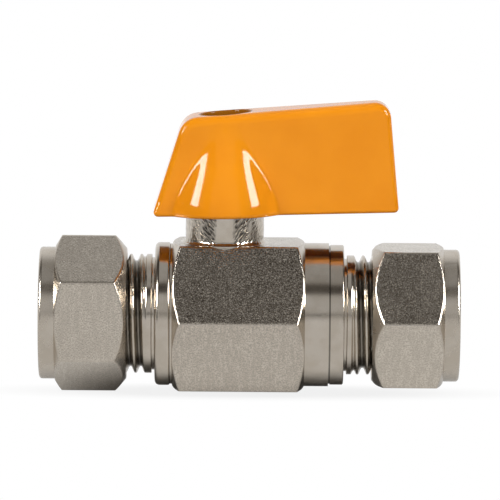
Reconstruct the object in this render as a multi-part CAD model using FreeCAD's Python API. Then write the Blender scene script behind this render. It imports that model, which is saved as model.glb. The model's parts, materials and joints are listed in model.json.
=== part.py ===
"""Quarter-turn isolating valve for 15 mm pipe, with a compression joint at each end.

The frame: x runs along the pipe from inlet to outlet, z runs up the stem, and the
origin is on the pipe axis at the stop against which the inlet pipe seats.
All sizes are in millimetres and angles in degrees.
"""
import FreeCAD, Part
import math
import os

from FreeCAD import Vector

# Pipe and compression joint
pipe_diameter = 15.0
socket_clearance = 0.10
olive_clearance = 0.05
nut_hole_clearance = 0.15
spigot_wall = 2.9775
thread_pitch = 1.814
thread_depth_per_pitch = 0.64
thread_clearance = 0.07
thread_showing = 5.0
spigot_length = 12.2
relief_width = 0.55
mouth_cone_width = 1.6
mouth_cone_angle = 30.0
olive_length = 6.5
olive_wall = 1.4
olive_end_wall = 0.40
olive_taper_length = 2.2
olive_gap = 0.08

# Compression nuts
nut_wall = 1.5225
nut_length = 15.3
nut_collar_length = 2.8
nut_collar_inset = 0.40
nut_collar_round = 0.6
nut_lip = 0.90
nut_end_lip = 0.10
nut_edge_break = 0.40
nut_inner_chamfer_angle = 40.0
nut_outer_chamfer_angle = 31.0
nut_seat_angle = 45.0
nut_thread_end_gap = 2.4
inlet_nut_turn = 30.0
outlet_nut_turn = 0.0

# Ball and seats
flow_bore = 10.0
ball_diameter = 17.0
ball_clearance = 0.60
seat_bore_margin = 0.20
seat_length = 3.1
seat_grip = 3.5
seat_rim_inset = 0.30
seat_gap = 0.05
seat_pocket_depth = 2.0
inlet_web = 2.4

# Body, whose rises are heights above the crest of the spigot's thread
hex_rise = 2.32
hex_length = 23.2
hex_end_lip = 0.20
hex_chamfer_angle = 31.0
stem_to_hex = 9.1
inlet_collar_length = 3.05
inlet_collar_rise = 2.10
inlet_collar_round = 0.85
collar_groove_width = 0.35
collar_groove_depth = 0.45
outlet_collar_length = 4.5
outlet_collar_rise = 2.12
outlet_collar_round = 0.25
neck_diameter = 13.7
neck_height = 20.0
neck_base_round = 0.7

# Outlet end connector
flange_length = 2.35
flange_rise = 1.82
flange_round = 0.30
connector_wall = 0.90
connector_clearance = 0.03
connector_nose_gap = 0.10

# Stem and its seals
stem_diameter = 7.5
stem_running_clearance = 0.05
stem_flange_margin = 1.05
stem_flange_thickness = 1.55
stem_flange_clearance = 0.10
ball_to_flange_gap = 0.15
washer_thickness = 0.75
washer_gap = 0.03
tang_thickness = 2.9
tang_clearance = 0.05
tang_length = 2.5
ring_section = 1.26
ring_groove_width = 1.7
ring_groove_clearance = 0.02
ring_spacing = 2.8
ring_inset = 1.4
flats_width = 5.6
flats_length = 4.4
flats_clearance = 0.05

# Lever handle, with lengths from the stem axis and heights from the pipe axis
lever_tip_reach = 30.5
lever_tip_lean = 1.8
lever_heel_reach = 12.75
lever_heel_lean = 5.4
lever_heel_height = 35.0
lever_tip_height = 38.0
lever_heel_bottom = 17.7
lever_tip_bottom = 18.5
lever_heel_round = 4.8
lever_tip_round = 2.8
lever_hub_thickness = 11.8
lever_tip_thickness = 6.8
lever_taper_start = 2.0
lever_taper_blend = 60.0
lever_edge_round = 1.1
lever_base_round = 0.6
hub_base_diameter = 21.3
hub_arc_radius = 14.5
hub_waist_lean = 29.0
hub_crown_sink = 0.05
hub_crease_round = 1.2
lever_wall = 2.0
lever_core_round = 0.8
neck_recess_clearance = 0.30
screw_web = 2.0
screw_web_gap = 0.2
access_hole_diameter = 8.9
access_hole_round = 0.3

# Quarter-turn stops
lever_travel = 90.0
stop_lug_angle = 86.0
stop_play = 1.5
stop_lug_height = 1.3
stop_lug_inner_margin = 0.80
stop_lug_inset = 0.30
stop_gap = 0.30

# Handle screw
screw_diameter = 4.0
screw_length = 9.7
screw_clearance = 0.03
screw_hole_clearance = 0.25
screw_head_diameter = 7.2
screw_head_height = 2.4
screw_head_round = 0.9
screw_recess_span = 4.0
screw_recess_width = 0.9
screw_recess_depth = 1.3
screw_tip_room = 0.8

# Radii that several pieces share
pipe_radius = pipe_diameter / 2
socket_radius = pipe_radius + socket_clearance
mouth_cone_radius = pipe_radius + mouth_cone_width
olive_bore_radius = pipe_radius + olive_clearance
olive_end_radius = olive_bore_radius + olive_end_wall
olive_radius = pipe_radius + olive_wall
thread_radius = pipe_radius + spigot_wall
thread_depth = thread_depth_per_pitch * thread_pitch
passage_radius = flow_bore / 2 + seat_bore_margin
ball_radius = ball_diameter / 2
seat_radius = ball_radius - seat_rim_inset
pocket_radius = seat_radius + seat_gap
cavity_radius = ball_radius + ball_clearance
connector_radius = cavity_radius + connector_wall
stem_radius = stem_diameter / 2
neck_bore_radius = stem_radius + stem_running_clearance
neck_radius = neck_diameter / 2
flange_rim_radius = stem_radius + stem_flange_margin
counterbore_radius = flange_rim_radius + stem_flange_clearance

# Stations along the pipe
seat_front = ball_radius - seat_grip
seat_back = seat_front + seat_length
stem_x = inlet_web + seat_back
hex_start = stem_x - stem_to_hex
hex_end = hex_start + hex_length
inlet_shoulder = hex_start - inlet_collar_length
inlet_mouth = inlet_shoulder - spigot_length
body_end = hex_end + outlet_collar_length
outlet_shoulder = body_end + flange_length
outlet_mouth = outlet_shoulder + spigot_length
socket_depth = -inlet_mouth
outlet_stop = outlet_mouth - socket_depth
nose_start = stem_x + seat_back - seat_pocket_depth

# Heights up the stem
hex_top = thread_radius + hex_rise
slot_floor = ball_radius - tang_length
stem_flange_bottom = ball_radius + ball_to_flange_gap
stem_flange_top = stem_flange_bottom + stem_flange_thickness
washer_bottom = stem_flange_top + washer_gap
counterbore_top = washer_bottom + washer_thickness + washer_gap
lower_ring_height = counterbore_top + ring_inset + ring_groove_width / 2
upper_ring_height = lower_ring_height + ring_spacing
stem_shoulder = neck_height + stop_lug_height + stop_gap
stem_top = stem_shoulder + flats_length
web_bottom = stem_top + screw_web_gap
web_top = web_bottom + screw_web

PIPE_AXIS = Vector(1, 0, 0)
UP = Vector(0, 0, 1)
ORIGIN = Vector(0, 0, 0)
FULL_TURN = 360.0
OVERRUN = 1.0
RUN_ON = 4.0
TOUCH = 0.02
SHARP_ANGLE = 15.0
HEX_STEP = 60.0


def tan(degrees):
    """Tangent of an angle in degrees."""
    return math.tan(math.radians(degrees))


def in_section(along, across):
    """Point of a profile in the upright plane through the pipe and stem axes."""
    return Vector(along, 0, across)


def in_plan(along, across):
    """Point of an outline in the level plane through the pipe axis."""
    return Vector(along, across, 0)


def outline(corners, place):
    """Face inside a closed outline of (along, across, round) corners, each rounded by its own radius."""
    points = [place(along, across) for along, across, _ in corners]
    runs = []
    for i, (_, _, radius) in enumerate(corners):
        corner = points[i]
        if radius == 0:
            runs.append((corner, None, corner))
            continue
        back = (points[i - 1] - corner).normalize()
        ahead = (points[(i + 1) % len(points)] - corner).normalize()
        half = back.getAngle(ahead) / 2
        trim = radius / math.tan(half)
        inward = (back + ahead).normalize()
        middle = corner + inward * (radius / math.sin(half) - radius)
        runs.append((corner + back * trim, middle, corner + ahead * trim))
    edges = []
    for i, (start, middle, end) in enumerate(runs):
        if middle:
            edges.append(Part.Arc(start, middle, end).toShape())
        following = runs[(i + 1) % len(runs)][0]
        edges.append(Part.LineSegment(end, following).toShape())
    return Part.Face(Part.Wire(edges))


def turned(corners):
    """Solid of revolution about the pipe axis from (x, radius, round) corners."""
    return outline(corners, in_section).revolve(ORIGIN, PIPE_AXIS, FULL_TURN)


def turned_upright(corners):
    """Solid of revolution about the stem axis from (radius, height, round) corners."""
    shifted = [(stem_x + radius, height, rounding) for radius, height, rounding in corners]
    return outline(shifted, in_section).revolve(Vector(stem_x, 0, 0), UP, FULL_TURN)


def bar(start, end, radius):
    """Cylinder on the pipe axis between two stations."""
    return Part.makeCylinder(radius, end - start, Vector(start, 0, 0), PIPE_AXIS)


def post(bottom, top, radius):
    """Cylinder on the stem axis between two heights."""
    return Part.makeCylinder(radius, top - bottom, Vector(stem_x, 0, bottom), UP)


def block(centre_x, size_x, size_y, bottom, top):
    """Upright block centred across the pipe."""
    corner = Vector(centre_x - size_x / 2, -size_y / 2, bottom)
    return Part.makeBox(size_x, size_y, top - bottom, corner)


def hex_bar(start, end, across_flats, turn):
    """Hexagonal bar along the pipe with a flat on top, turned about the pipe axis."""
    corner_radius = across_flats / math.sqrt(3)
    corners = []
    for step in range(6):
        angle = math.radians(HEX_STEP * step + turn)
        corners.append(Vector(start, corner_radius * math.cos(angle), corner_radius * math.sin(angle)))
    face = Part.Face(Part.makePolygon(corners + corners[:1]))
    return face.extrude(Vector(end - start, 0, 0))


def sector(inner, outer, bottom, top, middle_angle, span):
    """Part of a ring about the stem axis, centred on a heading seen from above."""
    ring = Part.makeCylinder(outer, top - bottom, Vector(stem_x, 0, bottom), UP, span)
    ring.rotate(Vector(stem_x, 0, 0), UP, middle_angle - span / 2)
    return ring.cut(post(bottom, top, inner))


def sharp_edges(shape, wanted):
    """Edges where two faces meet at an angle and whose middle point is wanted."""
    found = []
    for edge in shape.Edges:
        middle = edge.valueAt((edge.FirstParameter + edge.LastParameter) / 2)
        faces = shape.ancestorsOfType(edge, Part.Face)
        if len(faces) != 2 or not wanted(middle):
            continue
        normals = [face.normalAt(*face.Surface.parameter(middle)) for face in faces]
        if normals[0].getAngle(normals[1]) > math.radians(SHARP_ANGLE):
            found.append(edge)
    return found


def spigot_corners(shoulder, mouth):
    """Outside of a threaded spigot from its shoulder to its mouth, as (x, radius, round) corners."""
    outward = math.copysign(1, mouth - shoulder)
    core = thread_radius - thread_depth / 2
    return [
        (shoulder, core, 0),
        (shoulder + outward * relief_width, core, 0),
        (shoulder + outward * relief_width, thread_radius, 0),
        (mouth - outward * thread_depth / 2, thread_radius, 0),
        (mouth, core, 0),
    ]


def socket_corners(mouth, stop):
    """Inside of a pipe socket from its coned mouth to the pipe stop, as (x, radius, round) corners."""
    inward = math.copysign(1, stop - mouth)
    cone_depth = (mouth_cone_radius - socket_radius) / tan(mouth_cone_angle)
    return [
        (mouth, mouth_cone_radius, 0),
        (mouth + inward * cone_depth, socket_radius, 0),
        (stop, socket_radius, 0),
        (stop, passage_radius, 0),
    ]


def chamfered_hex(start, end, across_flats, turn, start_chamfer, end_chamfer):
    """Hexagonal bar turned down to a cone at each end, each given by its (end radius, angle)."""
    crown = across_flats / math.sqrt(3) + OVERRUN
    start_radius, start_angle = start_chamfer
    end_radius, end_angle = end_chamfer
    cones = turned(
        [
            (start, 0, 0),
            (start, start_radius, 0),
            (start + (crown - start_radius) * tan(start_angle), crown, 0),
            (end - (crown - end_radius) * tan(end_angle), crown, 0),
            (end, end_radius, 0),
            (end, 0, 0),
        ]
    )
    return hex_bar(start, end, across_flats, turn).common(cones)


def valve_body():
    """Forged hexagon body with the inlet spigot, the neck and the ball chamber."""
    collar_radius = thread_radius + inlet_collar_rise
    end_radius = thread_radius + outlet_collar_rise
    groove_radius = hex_top - collar_groove_depth
    groove_start = hex_start - collar_groove_width
    turning = turned(
        [(body_end, 0, 0), (inlet_mouth, 0, 0)]
        + spigot_corners(inlet_shoulder, inlet_mouth)[::-1]
        + [
            (inlet_shoulder, collar_radius, inlet_collar_round),
            (groove_start, collar_radius, inlet_collar_round / 2),
            (groove_start, groove_radius, 0),
            (hex_end, groove_radius, 0),
            (hex_end, end_radius, 0),
            (body_end, end_radius, outlet_collar_round),
        ]
    )
    chamfer = (hex_top - hex_end_lip, hex_chamfer_angle)
    shape = turning.fuse(chamfered_hex(hex_start, hex_end, 2 * hex_top, 0, chamfer, chamfer))
    shape = shape.fuse(post(0, neck_height, neck_radius)).removeSplitter()

    def at_neck_base(point):
        reach = math.hypot(point.x - stem_x, point.y)
        return abs(point.z - hex_top) < TOUCH and abs(reach - neck_radius) < TOUCH

    shape = shape.makeFillet(neck_base_round, sharp_edges(shape, at_neck_base))
    shape = shape.fuse(
        sector(
            neck_bore_radius + stop_lug_inner_margin,
            neck_radius - stop_lug_inset,
            neck_height - OVERRUN,
            neck_height + stop_lug_height,
            90 + lever_travel / 2,
            stop_lug_angle,
        )
    )
    pocket_end = inlet_web + seat_pocket_depth
    bore_start = nose_start - connector_nose_gap
    bore_radius = connector_radius + connector_clearance
    chamber = turned(
        [(inlet_mouth - OVERRUN, 0, 0), (inlet_mouth - OVERRUN, mouth_cone_radius, 0)]
        + socket_corners(inlet_mouth, 0)
        + [
            (inlet_web, passage_radius, 0),
            (inlet_web, pocket_radius, 0),
            (pocket_end, pocket_radius, 0),
            (pocket_end, cavity_radius, 0),
            (bore_start, cavity_radius, 0),
            (bore_start, bore_radius, 0),
            (body_end + OVERRUN, bore_radius, 0),
            (body_end + OVERRUN, 0, 0),
        ]
    )
    stem_way = post(0, counterbore_top, counterbore_radius)
    stem_way = stem_way.fuse(post(0, stem_shoulder, neck_bore_radius))
    return shape.cut(chamber.fuse(stem_way)).removeSplitter()


def end_connector():
    """Outlet end piece: shank screwed into the body, flange, spigot and pipe socket."""
    flange_radius = thread_radius + flange_rise
    return turned(
        [
            (nose_start, connector_radius, 0),
            (body_end, connector_radius, 0),
            (body_end, flange_radius, flange_round),
            (outlet_shoulder, flange_radius, flange_round),
        ]
        + spigot_corners(outlet_shoulder, outlet_mouth)
        + socket_corners(outlet_mouth, outlet_stop)
        + [
            (stem_x + seat_back, passage_radius, 0),
            (stem_x + seat_back, pocket_radius, 0),
            (nose_start, pocket_radius, 0),
        ]
    )


def ball():
    """Ball with its flow bore along the pipe and the stem's slot across its top."""
    centre = Vector(stem_x, 0, 0)
    sphere = Part.makeSphere(ball_radius, centre)
    slot_width = tang_thickness + 2 * tang_clearance
    slot = block(stem_x, slot_width, ball_diameter, slot_floor, ball_radius + OVERRUN)
    bore = bar(stem_x - ball_radius - OVERRUN, stem_x + ball_radius + OVERRUN, flow_bore / 2)
    return sphere.cut(bore.fuse(slot))


def seat(side):
    """Seat ring on one side of the ball, with its face hollowed to the ball."""
    back = stem_x + side * seat_back
    front = stem_x + side * seat_front
    ring = turned(
        [
            (back, passage_radius, 0),
            (back, seat_radius, 0),
            (front, seat_radius, 0),
            (front, passage_radius, 0),
        ]
    )
    return ring.cut(Part.makeSphere(ball_radius + seat_gap, Vector(stem_x, 0, 0)))


def ring_centre_radius():
    """Radius at the middle of a stem ring's section."""
    return neck_bore_radius - ring_groove_clearance - ring_section / 2


def stem():
    """Stem with its tang, thrust flange, ring grooves, driving flats and tapped top."""
    groove_floor = ring_centre_radius() - ring_section / 2 - ring_groove_clearance
    corners = [
        (0, stem_flange_bottom, 0),
        (flange_rim_radius, stem_flange_bottom, 0),
        (flange_rim_radius, stem_flange_top, 0),
        (stem_radius, stem_flange_top, 0),
    ]
    for height in (lower_ring_height, upper_ring_height):
        low = height - ring_groove_width / 2
        high = height + ring_groove_width / 2
        corners += [
            (stem_radius, low, 0),
            (groove_floor, low, 0),
            (groove_floor, high, 0),
            (stem_radius, high, 0),
        ]
    hole_radius = screw_diameter / 2 + screw_clearance
    hole_bottom = web_top - screw_length - screw_tip_room
    corners += [
        (stem_radius, stem_top, 0),
        (hole_radius, stem_top, 0),
        (hole_radius, hole_bottom, 0),
        (0, hole_bottom, 0),
    ]
    tang_bottom = slot_floor + tang_clearance
    tang = block(stem_x, tang_thickness, stem_diameter, tang_bottom, stem_flange_bottom + OVERRUN)
    shape = turned_upright(corners).fuse(tang.common(post(tang_bottom, stem_top, flange_rim_radius)))
    beside_flats = post(stem_shoulder, stem_top + OVERRUN, stem_diameter)
    flats = block(stem_x, 2 * stem_diameter, flats_width, stem_shoulder, stem_top + OVERRUN)
    return shape.cut(beside_flats.cut(flats)).removeSplitter()


def thrust_washer():
    """Plain ring between the stem's flange and the body."""
    top = washer_bottom + washer_thickness
    inner = stem_radius + stem_flange_clearance
    return turned_upright(
        [
            (inner, washer_bottom, 0),
            (flange_rim_radius, washer_bottom, 0),
            (flange_rim_radius, top, 0),
            (inner, top, 0),
        ]
    )


def stem_ring(height):
    """Seal ring on the stem, drawn as squeezed in its groove."""
    return Part.makeTorus(ring_centre_radius(), ring_section / 2, Vector(stem_x, 0, height), UP)


def olive_ends(mouth, inward):
    """Stations of an olive's inner and outer end, where it meets the cone of a spigot's mouth."""
    depth = (mouth_cone_radius - olive_end_radius - olive_gap) / tan(mouth_cone_angle)
    inner_end = mouth + inward * depth
    return inner_end, inner_end - inward * olive_length


def olive(mouth, inward):
    """Compression ring, coned at both ends."""
    inner_end, outer_end = olive_ends(mouth, inward)
    taper = inward * olive_taper_length
    return turned(
        [
            (outer_end, olive_bore_radius, 0),
            (outer_end, olive_end_radius, 0),
            (outer_end + taper, olive_radius, 0),
            (inner_end - taper, olive_radius, 0),
            (inner_end, olive_end_radius, 0),
            (inner_end, olive_bore_radius, 0),
        ]
    )


def compression_nut(shoulder, mouth, inward, turn):
    """Hexagon nut with a round end collar, bored for the pipe, the olive and the thread."""
    inner_face = shoulder - inward * thread_showing
    outer_face = inner_face - inward * nut_length
    hex_face = outer_face + inward * nut_collar_length
    thread_bore = thread_radius + thread_clearance
    flat = thread_radius + nut_wall
    collar_end = (flat - nut_end_lip, nut_outer_chamfer_angle)
    open_end = (thread_bore + nut_lip, nut_inner_chamfer_angle)
    ends = [(hex_face, collar_end), (inner_face, open_end)]
    (start, start_chamfer), (end, end_chamfer) = sorted(ends)
    shape = chamfered_hex(start, end, 2 * flat, turn, start_chamfer, end_chamfer)
    collar_radius = flat - nut_collar_inset
    shape = shape.fuse(
        turned(
            [
                (outer_face, 0, 0),
                (outer_face, collar_radius, nut_collar_round),
                (hex_face + inward * OVERRUN, collar_radius, 0),
                (hex_face + inward * OVERRUN, 0, 0),
            ]
        )
    )
    _, olive_end = olive_ends(mouth, inward)
    hole = pipe_radius + nut_hole_clearance
    seat_start = olive_end - inward * (olive_end_radius + olive_gap - hole) / tan(nut_seat_angle)
    chamber = olive_radius + nut_hole_clearance
    seat_end = seat_start + inward * (chamber - hole) / tan(nut_seat_angle)
    thread_start = mouth - inward * nut_thread_end_gap
    broken = inward * nut_edge_break
    inside = turned(
        [
            (outer_face - inward * OVERRUN, 0, 0),
            (outer_face - inward * OVERRUN, hole + nut_edge_break, 0),
            (outer_face, hole + nut_edge_break, 0),
            (outer_face + broken, hole, 0),
            (seat_start, hole, 0),
            (seat_end, chamber, 0),
            (thread_start, chamber, 0),
            (thread_start, thread_bore, 0),
            (inner_face - broken, thread_bore, 0),
            (inner_face, thread_bore + nut_edge_break, 0),
            (inner_face + inward * OVERRUN, thread_bore + nut_edge_break, 0),
            (inner_face + inward * OVERRUN, 0, 0),
        ]
    )
    return shape.cut(inside)


def handle_screw():
    """Pan-head screw with a cross recess, down through the lever into the stem."""
    shank = screw_diameter / 2
    head = screw_head_diameter / 2
    head_top = web_top + screw_head_height
    shape = turned_upright(
        [
            (0, web_top - screw_length, 0),
            (shank, web_top - screw_length, 0),
            (shank, web_top, 0),
            (head, web_top, 0),
            (head, head_top, screw_head_round),
            (0, head_top, 0),
        ]
    )
    floor = head_top - screw_recess_depth
    for size_x, size_y in (
        (screw_recess_span, screw_recess_width),
        (screw_recess_width, screw_recess_span),
    ):
        shape = shape.cut(block(stem_x, size_x, size_y, floor, head_top + OVERRUN))
    return shape


def lever_blade(inset, base_drop, heel_round, tip_round):
    """Tapering blade of the lever, or the core within its wall, run on below its base by a drop."""
    heel_slope = lever_heel_lean / (lever_heel_height - lever_heel_bottom)
    tip_slope = lever_tip_lean / (lever_tip_height - lever_tip_bottom)
    heel_base = stem_x - lever_heel_reach + inset
    tip_base = stem_x + lever_tip_reach - inset
    side = outline(
        [
            (heel_base - heel_slope * base_drop, lever_heel_bottom - base_drop, 0),
            (heel_base + lever_heel_lean, lever_heel_height - inset, heel_round),
            (tip_base - lever_tip_lean, lever_tip_height - inset, tip_round),
            (tip_base + tip_slope * base_drop, lever_tip_bottom - base_drop, 0),
        ],
        in_section,
    )
    hub_half = lever_hub_thickness / 2 - inset
    tip_half = lever_tip_thickness / 2 - inset
    taper_start = stem_x + lever_taper_start
    tip = stem_x + lever_tip_reach
    heel = stem_x - 2 * lever_heel_reach
    beyond = tip + lever_heel_reach
    taper = (hub_half - tip_half) / (tip - taper_start)
    beyond_half = tip_half - taper * (beyond - tip)
    plan = outline(
        [
            (heel, -hub_half, 0),
            (taper_start, -hub_half, lever_taper_blend),
            (beyond, -beyond_half, 0),
            (beyond, beyond_half, 0),
            (taper_start, hub_half, lever_taper_blend),
            (heel, hub_half, 0),
        ],
        in_plan,
    )
    side.translate(Vector(0, -lever_hub_thickness, 0))
    side = side.extrude(Vector(0, 2 * lever_hub_thickness, 0))
    return side.common(plan.extrude(Vector(0, 0, 2 * lever_tip_height)))


def lever_base(x):
    """Height of the lever's sloping base above the pipe axis at a station."""
    slope = (lever_tip_bottom - lever_heel_bottom) / (lever_tip_reach + lever_heel_reach)
    return lever_heel_bottom + slope * (x - stem_x + lever_heel_reach)


def leaning(degrees):
    """Unit vector in the lever's section, at an angle above the pipe's direction."""
    angle = math.radians(degrees)
    return Vector(math.cos(angle), 0, math.sin(angle))


def hub_bell():
    """Hub of the lever: its side leans in along one arc and flares up into the blade along another."""
    radius = hub_base_diameter / 2
    base = lever_base(stem_x)
    centre = Vector(stem_x + radius - hub_arc_radius, 0, base)
    waist = centre + leaning(hub_waist_lean) * hub_arc_radius
    crown_radius = lever_hub_thickness / 2 - hub_crown_sink
    crown = Vector(stem_x + crown_radius, 0, lever_heel_height - lever_edge_round)
    flare_lean = math.degrees(math.atan2(waist.x - crown.x, crown.z - waist.z))
    flare_turn = math.radians(hub_waist_lean - flare_lean)
    flare_radius = (crown - waist).Length / 2 / math.sin(flare_turn)
    flare_centre = waist + leaning(hub_waist_lean) * flare_radius
    foot = base - RUN_ON
    side = Part.Arc(
        centre + leaning(0) * hub_arc_radius,
        centre + leaning(hub_waist_lean / 2) * hub_arc_radius,
        waist,
    )
    flare = Part.Arc(waist, flare_centre - leaning(flare_lean) * flare_radius, crown)
    corners = [
        crown,
        Vector(stem_x, 0, crown.z),
        Vector(stem_x, 0, foot),
        Vector(stem_x + radius, 0, foot),
        side.StartPoint,
    ]
    lines = [Part.LineSegment(a, b) for a, b in zip(corners, corners[1:])]
    wire = Part.Wire([curve.toShape() for curve in (*lines, side, flare)])
    return Part.Face(wire).revolve(Vector(stem_x, 0, 0), UP, FULL_TURN)


def under_lever():
    """Block that fills the space below the lever's sloping base."""
    near = stem_x - 2 * lever_heel_reach
    far = stem_x + 2 * lever_tip_reach
    width = 2 * hub_base_diameter
    corners = [(near, 0, 0), (far, 0, 0), (far, lever_base(far), 0), (near, lever_base(near), 0)]
    face = outline(corners, in_section)
    face.translate(Vector(0, -width / 2, 0))
    return face.extrude(Vector(0, width, 0))


def lever_handle():
    """Die-cast lever: a rounded blade on a bell-shaped hub, cored out beneath, over the stem and neck."""
    blade = lever_blade(0, RUN_ON, lever_heel_round, lever_tip_round)
    blade_side = lever_tip_thickness / 4
    hub_reach = hub_base_diameter / 2

    def on_rim(point):
        return point.z > lever_tip_bottom and abs(point.y) > blade_side

    def on_crease(point):
        near_hub = math.hypot(point.x - stem_x, point.y) < hub_reach + OVERRUN
        below_rim = point.z < lever_heel_height - lever_edge_round
        above_end = point.z > lever_base(point.x) - RUN_ON + OVERRUN
        return near_hub and below_rim and above_end and abs(point.y) > blade_side

    def on_base(point):
        return abs(point.z - lever_base(point.x)) < TOUCH

    blade = blade.makeFillet(lever_edge_round, sharp_edges(blade, on_rim))
    shape = blade.fuse(hub_bell()).removeSplitter()
    shape = shape.makeFillet(hub_crease_round, sharp_edges(shape, on_crease))
    shape = shape.cut(under_lever()).removeSplitter()
    shape = shape.makeFillet(lever_base_round, sharp_edges(shape, on_base))

    recess_radius = neck_radius + neck_recess_clearance
    lug_span = FULL_TURN - stop_lug_angle - lever_travel - 2 * stop_play
    lug = sector(
        neck_bore_radius + stop_lug_inner_margin,
        recess_radius + OVERRUN,
        neck_height + stop_gap,
        stem_shoulder + OVERRUN,
        0,
        lug_span,
    )
    recess = post(0, stem_shoulder, recess_radius).cut(lug)
    flats = block(
        stem_x,
        2 * stem_diameter,
        flats_width + 2 * flats_clearance,
        stem_shoulder - OVERRUN,
        web_bottom,
    )
    socket = post(stem_shoulder - OVERRUN, web_bottom, stem_radius + flats_clearance).common(flats)
    screw_hole = post(stem_top, web_top + OVERRUN, screw_diameter / 2 + screw_hole_clearance)
    access_hole = post(web_top, lever_tip_height + OVERRUN, access_hole_diameter / 2)
    core = lever_blade(lever_wall, 2 * OVERRUN, lever_core_round, lever_core_round)
    core_start = stem_x + recess_radius + lever_wall
    core_length = lever_tip_reach
    core = core.common(
        block(core_start + core_length / 2, core_length, lever_hub_thickness, 0, lever_tip_height)
    )
    for hollow in (recess, socket, screw_hole, access_hole, core):
        shape = shape.cut(hollow)
    shape = shape.removeSplitter()

    def on_access_rim(point):
        reach = math.hypot(point.x - stem_x, point.y)
        return abs(reach - access_hole_diameter / 2) < TOUCH and point.z > web_top + OVERRUN

    return shape.makeFillet(access_hole_round, sharp_edges(shape, on_access_rim))


PIECES = {
    "valve_body": valve_body(),
    "end_connector": end_connector(),
    "ball": ball(),
    "inlet_seat": seat(-1),
    "outlet_seat": seat(1),
    "stem": stem(),
    "thrust_washer": thrust_washer(),
    "lower_stem_ring": stem_ring(lower_ring_height),
    "upper_stem_ring": stem_ring(upper_ring_height),
    "lever_handle": lever_handle(),
    "handle_screw": handle_screw(),
    "inlet_nut": compression_nut(inlet_shoulder, inlet_mouth, 1, inlet_nut_turn),
    "outlet_nut": compression_nut(outlet_shoulder, outlet_mouth, -1, outlet_nut_turn),
    "inlet_olive": olive(inlet_mouth, 1),
    "outlet_olive": olive(outlet_mouth, -1),
}

os.makedirs("parts", exist_ok=True)
for name, shape in PIECES.items():
    shape.exportStep(f"parts/{name}.step")
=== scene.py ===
"""Looks of a quarter-turn isolating valve: its threads, soft edges, finishes, light and camera.

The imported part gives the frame: x runs along the pipe from inlet to outlet, z runs up the stem,
and the origin is on the pipe axis. Sizes of pieces are in millimetres, and Blender's are in metres.
"""
from __future__ import annotations

import json
import logging
import math
from dataclasses import dataclass, field
from enum import Enum

import bpy
import numpy as np
from mathutils import Matrix, Vector, noise

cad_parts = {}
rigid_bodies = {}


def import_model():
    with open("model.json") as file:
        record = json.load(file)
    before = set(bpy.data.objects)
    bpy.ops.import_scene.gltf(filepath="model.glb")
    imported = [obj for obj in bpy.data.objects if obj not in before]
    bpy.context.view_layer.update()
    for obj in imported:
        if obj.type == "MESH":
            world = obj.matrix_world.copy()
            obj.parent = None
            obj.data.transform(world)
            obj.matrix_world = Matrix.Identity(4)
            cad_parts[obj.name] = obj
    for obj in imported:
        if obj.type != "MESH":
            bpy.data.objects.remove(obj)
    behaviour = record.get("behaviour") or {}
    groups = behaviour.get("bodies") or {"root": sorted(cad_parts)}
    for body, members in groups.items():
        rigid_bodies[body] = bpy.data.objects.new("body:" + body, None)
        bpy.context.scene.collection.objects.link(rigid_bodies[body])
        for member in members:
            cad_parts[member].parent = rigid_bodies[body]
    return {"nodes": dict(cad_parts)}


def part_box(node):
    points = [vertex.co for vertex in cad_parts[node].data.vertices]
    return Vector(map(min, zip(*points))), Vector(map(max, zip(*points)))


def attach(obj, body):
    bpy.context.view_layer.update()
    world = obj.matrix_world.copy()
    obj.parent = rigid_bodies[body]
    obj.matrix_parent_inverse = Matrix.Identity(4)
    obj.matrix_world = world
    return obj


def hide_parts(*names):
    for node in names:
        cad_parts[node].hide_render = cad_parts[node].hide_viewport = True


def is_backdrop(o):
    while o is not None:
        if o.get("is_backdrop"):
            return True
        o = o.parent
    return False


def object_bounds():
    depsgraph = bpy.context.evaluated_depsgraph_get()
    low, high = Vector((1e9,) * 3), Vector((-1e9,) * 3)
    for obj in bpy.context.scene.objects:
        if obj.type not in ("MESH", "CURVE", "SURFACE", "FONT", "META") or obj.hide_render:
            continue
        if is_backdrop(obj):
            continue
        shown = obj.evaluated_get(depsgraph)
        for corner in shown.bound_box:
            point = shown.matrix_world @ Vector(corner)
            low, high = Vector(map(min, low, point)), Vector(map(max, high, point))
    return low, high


MM = 0.001
FULL_TURN = 2 * math.pi
HEX_SIDES = 6
FEWEST_ROUND_STEPS = 3
LOG = logging.getLogger("isolating_valve")

# Angles in degrees: the steps of arcs and rounds, and what counts as a true corner.
ARC_STEP = 4.0
ROUND_STEP = 12.0
SHARP_ANGLE = 48.0

# Millimetres: the stem's station, and how far a shape that is joined on or cut away runs into the next.
STEM_X = 10.5
OVERLAP = 0.5

# Masks that the skins hold, and the part of a mesh that each is kept on. The sunk mask darkens grooves,
# thread roots and neck valleys, and the hollow mask darkens the lever's hollows and underside, both as
# painted shade.
FORGED = "forged"
SUNK = "sunk"
PAINTED_HOLLOW_SHADE = "painted_hollow_shade"
MASK_DOMAINS = {FORGED: "CORNER", SUNK: "CORNER", PAINTED_HOLLOW_SHADE: "FACE"}

Rgb = tuple[float, float, float]
Span = tuple[float, float]
Point = tuple[float, float, float]

WHITE: Rgb = (1.0, 1.0, 1.0)

# How fast a grain changes along x, y and z: the same every way, or in lines round the pipe.
EVEN: Rgb = (1.0, 1.0, 1.0)
ROUND_THE_PIPE: Rgb = (1.0, 0.01, 0.01)


class Wall(Enum):
    """What a stretch of a turned outline carries round its axis."""

    PLAIN = "plain"
    HEXAGON = "hexagon"
    THREAD = "thread"
    GROOVE = "groove"


class Side(Enum):
    """The two ends of the valve, by the sign of x that points out of them."""

    INLET = -1
    OUTLET = 1


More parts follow.
